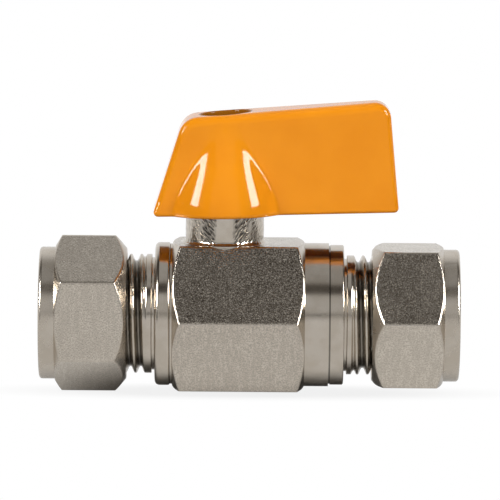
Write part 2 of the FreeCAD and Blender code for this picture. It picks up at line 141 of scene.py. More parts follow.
class Signal:
    """A shader value that takes part in Python arithmetic by adding Math nodes."""

    def __init__(self, graph: ShaderGraph, socket: bpy.types.NodeSocket) -> None:
        """Wrap an output socket of a graph."""
        self.graph = graph
        self.socket = socket

    def _math(self, operation: str, first: Operand, second: Operand = 0.0) -> Signal:
        """Result of a Math node on two values."""
        return self.graph.add("ShaderNodeMath", {"operation": operation}, {0: first, 1: second})

    def __add__(self, other: Operand) -> Signal:
        """Sum with another value."""
        return self._math("ADD", self, other)

    def __radd__(self, other: Operand) -> Signal:
        """Sum with a value on the left."""
        return self._math("ADD", other, self)

    def __sub__(self, other: Operand) -> Signal:
        """Difference from another value."""
        return self._math("SUBTRACT", self, other)

    def __rsub__(self, other: Operand) -> Signal:
        """Difference of a value on the left."""
        return self._math("SUBTRACT", other, self)

    def __mul__(self, other: Operand) -> Signal:
        """Product with another value."""
        return self._math("MULTIPLY", self, other)

    def __rmul__(self, other: Operand) -> Signal:
        """Product with a value on the left."""
        return self._math("MULTIPLY", other, self)

    def __truediv__(self, other: Operand) -> Signal:
        """Quotient by another value."""
        return self._math("DIVIDE", self, other)

    def __pow__(self, other: Operand) -> Signal:
        """Power of this value."""
        return self._math("POWER", self, other)

    def __abs__(self) -> Signal:
        """Size of this value without its sign."""
        return self._math("ABSOLUTE", self)

    def angle_from(self, base: Signal) -> Signal:
        """Angle in radians whose tangent is this value over a base value."""
        return self._math("ARCTAN2", self, base)

    def rise(self, low: float, high: float) -> Signal:
        """Smooth mask that is 0 at a low value and 1 at a high one."""
        return self.graph.add(
            "ShaderNodeMapRange",
            {"interpolation_type": "SMOOTHSTEP"},
            {"Value": self, "From Min": low, "From Max": high},
        )


Operand = Signal | float


class ShaderGraph:
    """Node tree of a material or a world, with one method that adds any node."""

    def __init__(self, tree: bpy.types.NodeTree) -> None:
        """Take hold of a node tree."""
        self.tree = tree

    @staticmethod
    def _find(sockets: bpy.types.bpy_prop_collection, key: str | int) -> bpy.types.NodeSocket:
        """Find a socket by number or by the name of one that is in use.

        Args:
            sockets: A node's inputs or outputs.
            key: The socket's number or name.

        Returns:
            The socket.
        """
        if isinstance(key, int):
            return sockets[key]
        return next(socket for socket in sockets if socket.enabled and socket.name == key)

    def feed(self, node: bpy.types.Node, inputs: dict[str | int, object]) -> None:
        """Set or link a node's inputs.

        Args:
            node: The node.
            inputs: A value or a Signal for each socket's name or number.
        """
        for key, value in inputs.items():
            socket = self._find(node.inputs, key)
            if isinstance(value, Signal):
                self.tree.links.new(value.socket, socket)
            else:
                socket.default_value = value

    def add(
        self,
        kind: str,
        settings: dict[str, object] | None = None,
        inputs: dict[str | int, object] | None = None,
        output: str | int = 0,
    ) -> Signal:
        """Add a node of any type.

        Args:
            kind: The node's type.
            settings: Its properties, which are set first.
            inputs: The values or links of its sockets.
            output: The socket to return.

        Returns:
            The chosen output.
        """
        node = self.tree.nodes.new(kind)
        for name, value in (settings or {}).items():
            setattr(node, name, value)
        self.feed(node, inputs or {})
        if output == 0:
            return Signal(self, next(socket for socket in node.outputs if socket.enabled))
        return Signal(self, self._find(node.outputs, output))

    def place(self) -> Signal:
        """Position on the piece, in metres, which moves with it."""
        return self.add("ShaderNodeTexCoord", output="Object")

    def attribute(self, name: str) -> Signal:
        """Number that a mesh holds at its corners or on its faces."""
        return self.add("ShaderNodeAttribute", {"attribute_name": name}, output="Fac")

    def ray(self, kind: str) -> Signal:
        """Whether a Camera, Glossy or Transmission ray sees the surface."""
        return self.add("ShaderNodeLightPath", output=f"Is {kind} Ray")

    def axes(self, vector: Signal) -> tuple[Signal, Signal, Signal]:
        """Split a vector into its x, y and z."""
        node = self.add("ShaderNodeSeparateXYZ", inputs={0: vector}).socket.node
        return tuple(Signal(self, socket) for socket in node.outputs)

    def grain(self, size: float, detail: float = 2.0, stretch: Rgb = EVEN) -> Signal:
        """Cloudy noise between 0 and 1 on the piece.

        Args:
            size: Width of its features, in millimetres.
            detail: How many finer layers it has.
            stretch: How fast it changes along x, y and z.

        Returns:
            The noise.
        """
        scale = tuple(share / (size * MM) for share in stretch)
        factors = {0: self.place(), 1: scale}
        vector = self.add("ShaderNodeVectorMath", {"operation": "MULTIPLY"}, factors)
        return self.add("ShaderNodeTexNoise", None, {"Vector": vector, "Scale": 1.0, "Detail": detail})

    def blend(self, share: Operand, first: Rgb | Signal, second: Rgb | Signal) -> Signal:
        """Mix two colours.

        Args:
            share: How much there is of the second.
            first: The first colour.
            second: The second colour.

        Returns:
            The mixed colour.
        """
        colours = [(*c, 1.0) if isinstance(c, tuple) else c for c in (first, second)]
        inputs = {"Factor": share, "A": colours[0], "B": colours[1]}
        return self.add("ShaderNodeMix", {"data_type": "RGBA"}, inputs)

    def bump(self, height: Signal) -> Signal:
        """Normal that is tilted by a height in millimetres."""
        return self.add("ShaderNodeBump", None, {"Height": height, "Distance": MM, "Strength": 1.0})


@dataclass(frozen=True)
class Finish:
    """A surface finish, which makes one material."""

    name: str

    def shade(self, graph: ShaderGraph, surface: bpy.types.Node) -> None:
        """Add the finish's nodes to a material's Principled shader."""
        raise NotImplementedError

    def material(self) -> bpy.types.Material:
        """Make the finish's material.

        Returns:
            The material.
        """
        material = bpy.data.materials.new(self.name)
        material.use_nodes = True
        self.shade(ShaderGraph(material.node_tree), material.node_tree.nodes["Principled BSDF"])
        return material


@dataclass(frozen=True)
class NickelPlate(Finish):
    """Nickel plate on brass: sandy where it was forged, finely lined where it was turned, with painted
    shade in its grooves and valleys.
    """

    turned: Rgb = (0.59, 0.535, 0.463)
    turned_dull: Rgb = (0.54, 0.482, 0.406)
    forged: Rgb = (0.66, 0.598, 0.515)
    forged_dull: Rgb = (0.47, 0.421, 0.358)
    # Painted shade: the dark colour that thread roots, the joint groove and the neck valleys are blended
    # towards.
    root: Rgb = (0.10, 0.09, 0.075)
    root_shade_share: float = 0.75
    patch_size: float = 4.0
    patch_span: Span = (0.35, 0.65)
    patch_roughness: float = 0.05
    speck_size: float = 0.24
    speck_span: Span = (0.36, 0.62)
    streak_size: float = 0.55
    streak_stretch: Rgb = (1.0, 0.16, 0.16)
    streak_span: Span = (0.35, 0.65)
    streak_share: float = 0.5
    grain_size: float = 0.28
    grain_height: float = 0.085
    line_size: float = 0.12
    line_height: float = 0.003
    forged_roughness: float = 0.14
    turned_roughness: float = 0.16

    def shade(self, graph: ShaderGraph, surface: bpy.types.Node) -> None:
        """Add the finish's nodes.

        Args:
            graph: The material's node tree.
            surface: Its Principled shader.
        """
        forged, sunk = graph.attribute(FORGED), graph.attribute(SUNK)
        patches = graph.grain(self.patch_size, detail=4.0).rise(*self.patch_span)
        specks = graph.grain(self.speck_size, detail=1.0).rise(*self.speck_span)
        streaks = graph.grain(self.streak_size, stretch=self.streak_stretch).rise(*self.streak_span)
        turned_colour = graph.blend(patches, self.turned, self.turned_dull)
        sandy = graph.blend(specks, self.forged_dull, self.forged)
        forged_colour = graph.blend(streaks * self.streak_share, sandy, self.forged_dull)
        plate = graph.blend(forged, turned_colour, forged_colour)
        sand = graph.grain(self.grain_size, detail=1.0) * forged * self.grain_height
        lines = graph.grain(self.line_size, stretch=ROUND_THE_PIPE) * (1 - forged) * self.line_height
        roughness = self.turned_roughness + forged * (self.forged_roughness - self.turned_roughness)
        graph.feed(
            surface,
            {
                "Metallic": 1.0,
                # Painted shade: sunk places are darkened towards the root colour.
                "Base Color": graph.blend(sunk * self.root_shade_share, plate, self.root),
                "Roughness": roughness + patches * self.patch_roughness,
                "Normal": graph.bump(sand + lines),
            },
        )


SMOOTH_PLATE = NickelPlate(
    "smooth_nickel_plate",
    forged=(0.70, 0.634, 0.545),
    forged_dull=(0.52, 0.470, 0.402),
    grain_size=0.22,
    grain_height=0.055,
    forged_roughness=0.17,
    turned_roughness=0.24,
)


@dataclass(frozen=True)
class LeverPaint(Finish):
    """Thick glossy orange-yellow paint with a faint orange peel, darkened with painted shade in the
    hollows and underneath.
    """

    colour: Rgb = (0.88, 0.30, 0.009)
    deep: Rgb = (0.84, 0.275, 0.007)
    # Painted shade: the dark colour that the lever's hollows, hole and underside are blended towards.
    hollow_shade_colour: Rgb = (0.17, 0.060, 0.006)
    patch_size: float = 9.0
    patch_span: Span = (0.3, 0.7)
    patch_roughness: float = 0.04
    peel_size: float = 2.2
    peel_height: float = 0.008
    gloss_roughness: float = 0.04
    gloss: float = 0.20

    def shade(self, graph: ShaderGraph, surface: bpy.types.Node) -> None:
        """Add the finish's nodes.

        Args:
            graph: The material's node tree.
            surface: Its Principled shader.
        """
        patches = graph.grain(self.patch_size, detail=3.0).rise(*self.patch_span)
        peel = graph.grain(self.peel_size, detail=1.0) * self.peel_height
        paint = graph.blend(patches, self.colour, self.deep)
        graph.feed(
            surface,
            {
                "Specular IOR Level": self.gloss,
                # Painted shade: darker paint underneath and in the hollows and the hole.
                "Base Color": graph.blend(graph.attribute(PAINTED_HOLLOW_SHADE), paint, self.hollow_shade_colour),
                "Roughness": self.gloss_roughness + patches * self.patch_roughness,
                "Normal": graph.bump(peel),
            },
        )


@dataclass(frozen=True)
class PlainMetal(Finish):
    """Bare or thinly plated metal with fine tool lines."""

    colour: Rgb = (0.80, 0.58, 0.28)
    tarnish: Rgb = (0.62, 0.42, 0.18)
    patch_size: float = 3.0
    patch_span: Span = (0.35, 0.75)
    patch_roughness: float = 0.12
    line_stretch: Rgb = ROUND_THE_PIPE
    line_size: float = 0.12
    line_height: float = 0.004
    roughness: float = 0.25

    def shade(self, graph: ShaderGraph, surface: bpy.types.Node) -> None:
        """Add the finish's nodes.

        Args:
            graph: The material's node tree.
            surface: Its Principled shader.
        """
        patches = graph.grain(self.patch_size, detail=4.0).rise(*self.patch_span)
        lines = graph.grain(self.line_size, stretch=self.line_stretch) * self.line_height
        graph.feed(
            surface,
            {
                "Metallic": 1.0,
                "Base Color": graph.blend(patches, self.colour, self.tarnish),
                "Roughness": self.roughness + patches * self.patch_roughness,
                "Normal": graph.bump(lines),
            },
        )


@dataclass(frozen=True)
class SealMaterial(Finish):
    """Moulded seat plastic or seal rubber with a soft mottle."""

    colour: Rgb = (0.80, 0.79, 0.75)
    dark_colour: Rgb = (0.70, 0.69, 0.65)
    roughness: float = 0.45
    grain_span: Span = (0.3, 0.7)
    grain_roughness: float = 0.15
    grain_size: float = 0.5
    grain_height: float = 0.004

    def shade(self, graph: ShaderGraph, surface: bpy.types.Node) -> None:
        """Add the finish's nodes.

        Args:
            graph: The material's node tree.
            surface: Its Principled shader.
        """
        mottle = graph.grain(self.grain_size, detail=3.0)
        graph.feed(
            surface,
            {
                "Base Color": graph.blend(mottle.rise(*self.grain_span), self.colour, self.dark_colour),
                "Roughness": self.roughness + mottle * self.grain_roughness,
                "Normal": graph.bump(mottle * self.grain_height),
            },
        )


@dataclass(frozen=True)
class MattCard(Finish):
    """Dark matt card that the plate mirrors."""

    colour: Rgb = (0.03, 0.03, 0.03)
    roughness: float = 0.9

    def shade(self, graph: ShaderGraph, surface: bpy.types.Node) -> None:
        """Set the card's colour on its Principled shader."""
        graph.feed(surface, {"Base Color": (*self.colour, 1.0), "Roughness": self.roughness})


@dataclass(frozen=True)
class WhiteSweep(Finish):
    """Pale matt floor with the valve's shadow, plain white to the camera away from the valve.

    Attributes:
        middle: Station of the shadow's middle, in metres, as the other lengths are.
        near_length: Half the length of the patch under the valve.
        near_width: Half the width of that patch.
        shadow_reach: How many times as far off the shadow has gone.
        shadow_lift: How white the floor is to the camera in the deepest shadow.
        glow_reach: How many times as far off the floor glows in full in mirrored light.
        floor_glow: How white the floor is in mirrored light in front of the valve.
        white_behind: Distances behind the pipe over which that rises to white.
    """

    middle: float
    colour: Rgb = (0.45, 0.45, 0.45)
    roughness: float = 0.9
    near_length: float = 0.020
    near_width: float = 0.0045
    shadow_reach: float = 2.8
    shadow_lift: float = 0.86
    glow_reach: float = 2.35
    floor_glow: float = 0.54
    white_behind: Span = (0.02, 0.08)

    def shade(self, graph: ShaderGraph, surface: bpy.types.Node) -> None:
        """Mix the floor with white, by the ray that sees it and the distance from the valve.

        Args:
            graph: The material's node tree.
            surface: Its Principled shader.
        """
        graph.feed(surface, {"Base Color": (*self.colour, 1.0), "Roughness": self.roughness})
        graph.feed(surface, {"Specular IOR Level": 0.0})
        x, y, _ = graph.axes(graph.place())
        along = (x - self.middle) / self.near_length
        off = (along * along + (y / self.near_width) ** 2.0) ** 0.5
        lifted = self.shadow_lift + off.rise(1.0, self.shadow_reach) * (1 - self.shadow_lift)
        behind = y.rise(*self.white_behind)
        glowing = off.rise(1.0, self.glow_reach) * (self.floor_glow + behind * (1 - self.floor_glow))
        seen, glossy, through = (graph.ray(kind) for kind in ("Camera", "Glossy", "Transmission"))
        white = seen * lifted + (glossy + through) * glowing
        glow = graph.add("ShaderNodeEmission", None, {"Color": (*WHITE, 1.0), "Strength": 1.0})
        natural = Signal(graph, surface.outputs["BSDF"])
        mixed = graph.add("ShaderNodeMixShader", None, {0: white, 1: natural, 2: glow})
        graph.feed(graph.tree.nodes["Material Output"], {"Surface": mixed})


@dataclass(frozen=True)
class Corner:
    """Corner of a turned outline, and the stretch that follows it.

    Attributes:
        along: Station on the axis.
        radius: Distance from the axis.
        soft: Radius that rounds the corner.
        wall: What the stretch after the corner carries.
        step: Longest piece that the stretch is divided into, or 0 for none.
    """

    along: float
    radius: float
    soft: float = 0.0
    wall: Wall = Wall.PLAIN
    step: float = 0.0


@dataclass(frozen=True)
class Hexagon:
    """Hexagonal bar with softly rounded corners.

    Attributes:
        flat: Distance from the axis to a flat.
        turn: Angle of the first flat, in radians from the y axis.
        corner_soft: How softly the flats meet.
        chamfer_soft: How softly a flat meets the cone at its end.
        chamfer_step: Longest piece that a cone is divided into.
        flat_step: Longest piece that a flat is divided into.
    """

    flat: float
    turn: float
    corner_soft: float = 0.32
    chamfer_soft: float = 0.13
    chamfer_step: float = 0.07
    flat_step: float = 1.0

    @property
    def crown(self) -> float:
        """Radius that lies outside the hexagon everywhere."""
        return self.flat / math.cos(math.pi / HEX_SIDES) + self.chamfer_soft

    def cone(self, lip: float, angle: float) -> float:
        """Length of an end's cone from the radius of its lip to the crown, at an angle in degrees."""
        return (self.crown - lip) * math.tan(math.radians(angle))

    def stretch(
        self, start: float, start_lip: float, start_cone: float, end: float, end_cone: float
    ) -> list[Corner]:
        """Corners of the hexagon's own stretch of an outline, with a cone at each end.

        Args:
            start: Station of its first end.
            start_lip: Radius of that end's lip.
            start_cone: Length of that end's cone, with the sign of the direction.
            end: Station of its last end.
            end_cone: Length of the last end's cone, with the same sign.

        Returns:
            The corners, up to the start of the last cone.
        """
        return [
            Corner(start, start_lip, wall=Wall.HEXAGON, step=self.chamfer_step),
            Corner(start + start_cone, self.crown, wall=Wall.HEXAGON, step=self.flat_step),
            Corner(end - end_cone, self.crown, wall=Wall.HEXAGON, step=self.chamfer_step),
        ]

    def radius(self, angles: np.ndarray) -> np.ndarray:
        """Distance from the axis to the surface.

        Args:
            angles: Angles about the axis.

        Returns:
            The distance at each angle.
        """
        sector = FULL_TURN / HEX_SIDES
        off = (angles - self.turn + sector / 2) % sector - sector / 2
        near = self.flat / np.cos(off)
        next_flat = self.flat / np.cos(sector - np.abs(off))
        return soft_lower(near, next_flat, self.corner_soft)

    def angles(self, divisions: int) -> np.ndarray:
        """Angles about the axis that crowd towards the corners.

        Args:
            divisions: Number of steps across each flat.

        Returns:
            The angles.
        """
        sector = FULL_TURN / HEX_SIDES
        share = np.sin(np.linspace(-0.5, 0.5, divisions, endpoint=False) * math.pi)
        steps = [self.turn + sector * (side + share / 2) for side in range(HEX_SIDES)]
        return np.concatenate(steps)


@dataclass(frozen=True)
class PipeThread:
    """Right-hand pipe thread with rounded crests and roots.

    Attributes:
        crest_at_top: Station of one crest, on the top of the spigot.
        fade_start: Station on the land side where the thread has run out.
        side: The end of the valve that the spigot is on.
        pitch: Distance between crests.
        depth: Depth of the groove.
        fade_length: Length over which the thread runs out.
        crest_share: Share of half a pitch that a crest takes up.
        flank_gain: How fast the flank falls after the crest.
        rounding: How much of the flank eases into crest and root.
    """

    crest_at_top: float
    fade_start: float
    side: Side
    pitch: float = 1.814
    depth: float = 1.161
    fade_length: float = 0.7
    crest_share: float = 1 / 6
    flank_gain: float = 1.5
    rounding: float = 0.5

    def cut(self, along: np.ndarray, angles: np.ndarray) -> np.ndarray:
        """Depth of the groove below the crest.

        Args:
            along: Stations on the axis.
            angles: Angles about the axis.

        Returns:
            The depth at each station and angle.
        """
        turns = (along - self.crest_at_top) / self.pitch - (angles - math.pi / 2) / FULL_TURN
        wave = 2 * np.abs(turns - np.round(turns))
        sunk = np.clip((wave - self.crest_share) * self.flank_gain, 0, 1)
        eased = sunk * sunk * (3 - 2 * sunk)
        rounded = (1 - self.rounding) * sunk + self.rounding * eased
        fade = np.clip((along - self.fade_start) * self.side.value / self.fade_length, 0, 1)
        return self.depth * rounded * fade


def soft_lower(first: np.ndarray, second: np.ndarray, soft: float) -> np.ndarray:
    """Lower of two surfaces' heights, blended where they differ by less than a soft height."""
    near = np.maximum(soft - np.abs(first - second), 0) / soft
    return np.minimum(first, second) - near * near * soft / 4


def trace(corners: list[Corner]) -> tuple[np.ndarray, np.ndarray, list[Wall]]:
    """Walk round a closed outline, rounding its soft corners and dividing its long stretches.

    Args:
        corners: The outline's corners in order.

    Returns:
        The station, radius and wall at each point.
    """
    bends: list[list[np.ndarray]] = []
    for index, corner in enumerate(corners):
        here = np.array([corner.along, corner.radius])
        if not corner.soft:
            bends.append([here])
            continue
        before, after = corners[index - 1], corners[(index + 1) % len(corners)]
        back = np.array([before.along, before.radius]) - here
        ahead = np.array([after.along, after.radius]) - here
        back, ahead = back / np.linalg.norm(back), ahead / np.linalg.norm(ahead)
        bends.append(round_corner(here, back, ahead, corner.soft))
    points: list[np.ndarray] = []
    walls: list[Wall] = []
    for corner, bend, following in zip(corners, bends, bends[1:] + bends[:1]):
        start, reach = bend[-1], following[0] - bend[-1]
        count = math.ceil(np.linalg.norm(reach) / corner.step) if corner.step else 1
        stretch = bend + [start + reach * i / count for i in range(1, count)]
        points.extend(stretch)
        walls.extend([corner.wall] * len(stretch))
    path = np.array(points)
    return path[:, 0], path[:, 1], walls


def round_corner(here: np.ndarray, back: np.ndarray, ahead: np.ndarray, soft: float) -> list[np.ndarray]:
    """Points of an arc that rounds a corner.

    Args:
        here: The corner.
        back: Unit vector towards the corner before it.
        ahead: Unit vector towards the corner after it.
        soft: Radius of the arc.

    Returns:
        The arc's points.
    """
    half = math.acos(np.clip(back @ ahead, -1, 1)) / 2
    inset = soft / math.tan(half)
    centre = here + (back + ahead) / np.linalg.norm(back + ahead) * soft / math.sin(half)
    first = here + back * inset - centre
    last = here + ahead * inset - centre
    sweep = math.pi - 2 * half
    count = max(FEWEST_ROUND_STEPS, math.ceil(sweep / math.radians(ROUND_STEP)))
    shares = np.linspace(0, 1, count + 1)
    return [
        centre + (first * math.sin((1 - t) * sweep) + last * math.sin(t * sweep)) / math.sin(sweep)
        for t in shares
    ]


@dataclass
class Skin:
    """Closed turned skin about the pipe, which may carry a hexagon and a thread.

    Attributes:
        name: The piece's name.
        corners: Its section, in millimetres.
        hexagon: The hexagon of its hexagon walls.
        thread: The thread of its thread walls.
        divisions: Steps across each sixth of a turn.
    """

    name: str
    corners: list[Corner]
    hexagon: Hexagon = Hexagon(1.0, 0.0)
    thread: PipeThread | None = None
    divisions: int = 28

    def build(self) -> bpy.types.Object:
        """Make the skin's mesh, with a mask of its forged flats and a mask that puts painted shade in
        its grooves and thread roots.

        Returns:
            The object.
        """
        along, radius, walls = trace(self.corners)
        angles = self.hexagon.angles(self.divisions)
        stations = along[:, None] + 0 * angles[None, :]
        radii = radius[:, None] + 0 * angles[None, :]
        forged, sunk = np.zeros_like(radii), np.zeros_like(radii)
        on_hexagon = np.array([wall is Wall.HEXAGON for wall in walls])
        if on_hexagon.any():
            flats = self.hexagon.radius(angles)[None, :]
            turned = radii[on_hexagon]
            radii[on_hexagon] = soft_lower(turned, flats, self.hexagon.chamfer_soft)
            forged[on_hexagon] = np.clip((turned - flats) / self.hexagon.chamfer_soft - 1, 0, 1)
        # Painted shade: the joint groove is marked to be drawn dark.
        sunk[[wall is Wall.GROOVE for wall in walls]] = 1.0
        on_thread = np.array([wall is Wall.THREAD for wall in walls])
        if self.thread and on_thread.any():
            cut = self.thread.cut(along[on_thread][:, None], angles[None, :])
            radii[on_thread] -= cut
            # Painted shade: thread roots are marked darker the deeper they lie.
            sunk[on_thread] = (cut / self.thread.depth) ** 2
        points = np.stack([stations, radii * np.cos(angles), radii * np.sin(angles)], axis=-1)
        return closed_grid(self.name, points, {FORGED: forged, SUNK: sunk})


def closed_grid(name: str, points: np.ndarray, masks: dict[str, np.ndarray]) -> bpy.types.Object:
    """Make a mesh from a grid of points that closes on itself both ways.

    Args:
        name: The object's name.
        points: The grid, in millimetres.
        masks: Numbers to hold at each point, by name.

    Returns:
        The object, smooth where its surface is.
    """
    rows, columns = points.shape[:2]
    index = np.arange(rows * columns).reshape(rows, columns)
    down = np.roll(index, -1, axis=0)
    quads = np.stack([index, np.roll(index, -1, axis=1), np.roll(down, -1, axis=1), down], axis=-1)
    piece = solid(name, points.reshape(-1, 3), quads.reshape(-1, 4))
    owners = corner_owners(piece.data)
    for mask, values in masks.items():
        piece.data.attributes[mask].data.foreach_set("value", values.ravel()[owners])
    return piece


def corner_owners(mesh: bpy.types.Mesh) -> np.ndarray:
    """Find the point that each face corner of a mesh is on.

    Args:
        mesh: The mesh.

    Returns:
        The points' numbers.
    """
    owners = np.empty(len(mesh.loops), dtype=np.int32)
    mesh.loops.foreach_get("vertex_index", owners)
    return owners


def stand(name: str, data: bpy.types.ID) -> bpy.types.Object:
    """Put a new object into the scene.

    Args:
        name: The object's name.
        data: Its mesh, lamp or lens.

    Returns:
        The object.
    """
    piece = bpy.data.objects.new(name, data)
    bpy.context.scene.collection.objects.link(piece)
    return piece


def solid(name: str, points: np.ndarray, faces: np.ndarray | list[tuple[int, ...]]) -> bpy.types.Object:
    """Make a closed mesh with its normals outward, only its true corners sharp and its masks at 0.

    Args:
        name: The object's name.
        points: Its points, in millimetres.
        faces: The numbers of the points round each face.

    Returns:
        The object.
    """
    mesh = bpy.data.meshes.new(name)
    mesh.from_pydata(points * MM, [], faces)
    piece = stand(name, mesh)
    bpy.context.view_layer.objects.active = piece
    bpy.ops.object.select_all(action="DESELECT")
    piece.select_set(True)
    bpy.ops.object.mode_set(mode="EDIT")
    bpy.ops.mesh.select_all(action="SELECT")
    bpy.ops.mesh.normals_make_consistent(inside=False)
    bpy.ops.object.mode_set(mode="OBJECT")
    mesh.shade_smooth()
    mesh.set_sharp_from_angle(angle=math.radians(SHARP_ANGLE))
    for mask, domain in MASK_DOMAINS.items():
        values = mesh.attributes.new(mask, "FLOAT", domain).data
        values.foreach_set("value", np.zeros(len(values)))
    return piece


def capped_grid(name: str, points: np.ndarray) -> bpy.types.Object:
    """Make a mesh from a stack of closed rings whose ends are drawn to a point in the middle.

    Args:
        name: The object's name.
        points: The rings, in millimetres.

    Returns:
        The object, smooth where its surface is.
    """
    rows, columns = points.shape[:2]
    index = np.arange(rows * columns).reshape(rows, columns)
    ahead = np.roll(index, -1, axis=1)
    quads = np.stack([index[:-1], ahead[:-1], ahead[1:], index[1:]], axis=-1).reshape(-1, 4)
    first, last = rows * columns, rows * columns + 1
    fans = [(first, b, a) for a, b in zip(index[0], ahead[0])]
    fans += [(last, a, b) for a, b in zip(index[-1], ahead[-1])]
    ends = np.stack([points[0].mean(axis=0), points[-1].mean(axis=0)])
    return solid(name, np.concatenate([points.reshape(-1, 3), ends]), [*quads.tolist(), *fans])


def bar(name: str, first: list[Point], last: list[Point]) -> bpy.types.Object:
    """Make a bar between two outlines that match point for point.

    Args:
        name: The object's name.
        first: The outline at one end, in millimetres.
        last: The outline at the other end.

    Returns:
        The object.
    """
    count = len(first)
    sides = [(i, (i + 1) % count, count + (i + 1) % count, count + i) for i in range(count)]
    caps = [tuple(range(count)), tuple(range(count, 2 * count))]
    return solid(name, np.array(first + last), sides + caps)


def prism(name: str, outline: list[Span], bottom: float, top: float) -> bpy.types.Object:
    """Make an upright bar between two heights from the x and y of its plan, in millimetres."""
    ends = ([(x, y, level) for x, y in outline] for level in (bottom, top))
    return bar(name, *ends)


def arc(centre: float, radius: float, first: float, last: float) -> list[Span]:
    """Points along an arc about an upright axis.

    Args:
        centre: Station of the axis.
        radius: The arc's radius.
        first: Angle where it starts, in degrees.
        last: Angle where it ends.

    Returns:
        The points' x and y.
    """
    count = max(2, math.ceil(abs(last - first) / ARC_STEP) + 1)
    turns = np.radians(np.linspace(first, last, count))
    return [(centre + radius * math.cos(a), radius * math.sin(a)) for a in turns]


def circle(centre: float, radius: float) -> list[Span]:
    """Points round a circle about an upright axis."""
    return arc(centre, radius, 0.0, 360.0)[:-1]


def combine(base: bpy.types.Object, other: bpy.types.Object, operation: str) -> None:
    """Join another closed mesh to a piece or cut it away, and remove the other.

    Args:
        base: The piece that changes.
        other: The mesh that is used up.
        operation: UNION or DIFFERENCE.
    """
    tool = base.modifiers.new(operation, "BOOLEAN")
    tool.operation = operation
    tool.solver = "EXACT"
    tool.object = other
    bake(base)
    bpy.data.objects.remove(other)


def bake(piece: bpy.types.Object) -> None:
    """Put what a piece's modifiers make of it into its mesh, and remove them.

    Args:
        piece: The piece.
    """
    shaped = piece.evaluated_get(bpy.context.evaluated_depsgraph_get())
    mesh = bpy.data.meshes.new_from_object(shaped)
    piece.modifiers.clear()
    piece.data = mesh


def dress(piece: bpy.types.Object, material: bpy.types.Material) -> None:
    """Give a piece its material through its object's own slot.

    Args:
        piece: The piece.
        material: The material.
    """
    if not piece.material_slots:
        piece.data.materials.append(None)
    for slot in piece.material_slots:
        slot.link = "OBJECT"
        slot.material = material


def seat(
    piece: bpy.types.Object, finish: bpy.types.Material, body: str, node: str
) -> bpy.types.Object:
    """Put a finished skin in the place of a CAD node, with the normals of its large faces kept true.

    Args:
        piece: The skin.
        finish: Its material.
        body: The moving body that it rides on.
        node: The CAD node that it stands for.

    Returns:
        The skin.
    """
    tool = piece.modifiers.new("normals", "WEIGHTED_NORMAL")
    tool.mode = "FACE_AREA"
    tool.keep_sharp = True
    bake(piece)
    dress(piece, finish)
    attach(piece, body)
    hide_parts(node)
    return piece


@dataclass
class JointSizes:
    """Sizes that both ends of the valve share, in millimetres."""

    spigot_length: float = 12.2
    thread_radius: float = 10.4775
    thread_core: float = 9.897
    thread_start: float = 0.58
    relief: float = 0.55
    cone_radius: float = 9.1
    cone_depth: float = 2.598
    socket_radius: float = 7.6
    passage_radius: float = 5.2
    pocket_radius: float = 8.25
    seat_depth: float = 2.0
    edge_soft: float = 0.1
    crest_soft: float = 0.08
    thread_step: float = 0.10


@dataclass
class CompressionNut:
    """Hexagon nut with a round end collar, on the spigot at one end.

    Attributes:
        side: The end of the valve that the nut is on.
        finish: Its material.
    """

    side: Side
    finish: bpy.types.Material
    joint: JointSizes = field(default_factory=JointSizes)
    collar_length: float = 2.8
    collar_inset: float = 0.40
    collar_round: float = 0.6
    collar_fillet: float = 0.08
    end_lip: float = 0.10
    outer_chamfer: float = 31.0
    inner_chamfer: float = 40.0
    lip: float = 0.90
    lip_soft: float = 0.12
    thread_bore: float = 10.5475
    edge_break: float = 0.40
    hole_radius: float = 7.65
    seat_start: float = 3.22
    chamber_radius: float = 9.05
    thread_room: float = 5.7

    @property
    def node(self) -> str:
        """Name of the nut's CAD node."""
        return "inlet_nut" if self.side is Side.INLET else "outlet_nut"

    @property
    def body(self) -> str:
        """Name of the moving body that the nut rides on."""
        return "inlet_cap" if self.side is Side.INLET else "outlet_cap"

    def corners(self, outer: float, inner: float, hexagon: Hexagon) -> list[Corner]:
        """Section of the nut from its outer face round to its bore.

        Args:
            outer: Station of the face away from the valve.
            inner: Station of the face towards the valve.
            hexagon: The nut's hexagon.

        Returns:
            The section's corners.
        """
        inward = -self.side.value
        hex_face = outer + inward * self.collar_length
        collar = hexagon.flat - self.collar_inset
        collar_end = hexagon.flat - self.end_lip
        open_end = self.thread_bore + self.lip
        outer_cone = inward * hexagon.cone(collar_end, self.outer_chamfer)
        inner_cone = inward * hexagon.cone(open_end, self.inner_chamfer)
        edge_soft = self.joint.edge_soft
        broken = inward * self.edge_break
        seat_edge = outer + inward * self.seat_start
        chamber = seat_edge + inward * (self.chamber_radius - self.hole_radius)
        thread_end = outer + inward * self.thread_room
        return [
            Corner(outer, self.hole_radius + self.edge_break, edge_soft),
            Corner(outer, collar, self.collar_round),
            Corner(hex_face, collar, self.collar_fillet),
            *hexagon.stretch(hex_face, collar_end, outer_cone, inner, inner_cone),
            Corner(inner, open_end, self.lip_soft),
            Corner(inner, self.thread_bore + self.edge_break, edge_soft),
            Corner(inner - broken, self.thread_bore),
            Corner(thread_end, self.thread_bore),
            Corner(thread_end, self.chamber_radius),
            Corner(chamber, self.chamber_radius),
            Corner(seat_edge, self.hole_radius),
            Corner(outer + broken, self.hole_radius),
        ]

    def build(self) -> bpy.types.Object:
        """Make the nut in place of its CAD node.

        Returns:
            The nut.
        """
        low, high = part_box(self.node)
        outer, inner = (low.x, high.x) if self.side is Side.INLET else (high.x, low.x)
        vertex_up = high.z > high.y
        flat = min(high.y, high.z) / MM
        hexagon = Hexagon(flat, 0.0 if vertex_up else math.pi / HEX_SIDES)
        skin = Skin(f"{self.node}_skin", self.corners(outer / MM, inner / MM, hexagon), hexagon)
        return seat(skin.build(), self.finish, self.body, self.node)


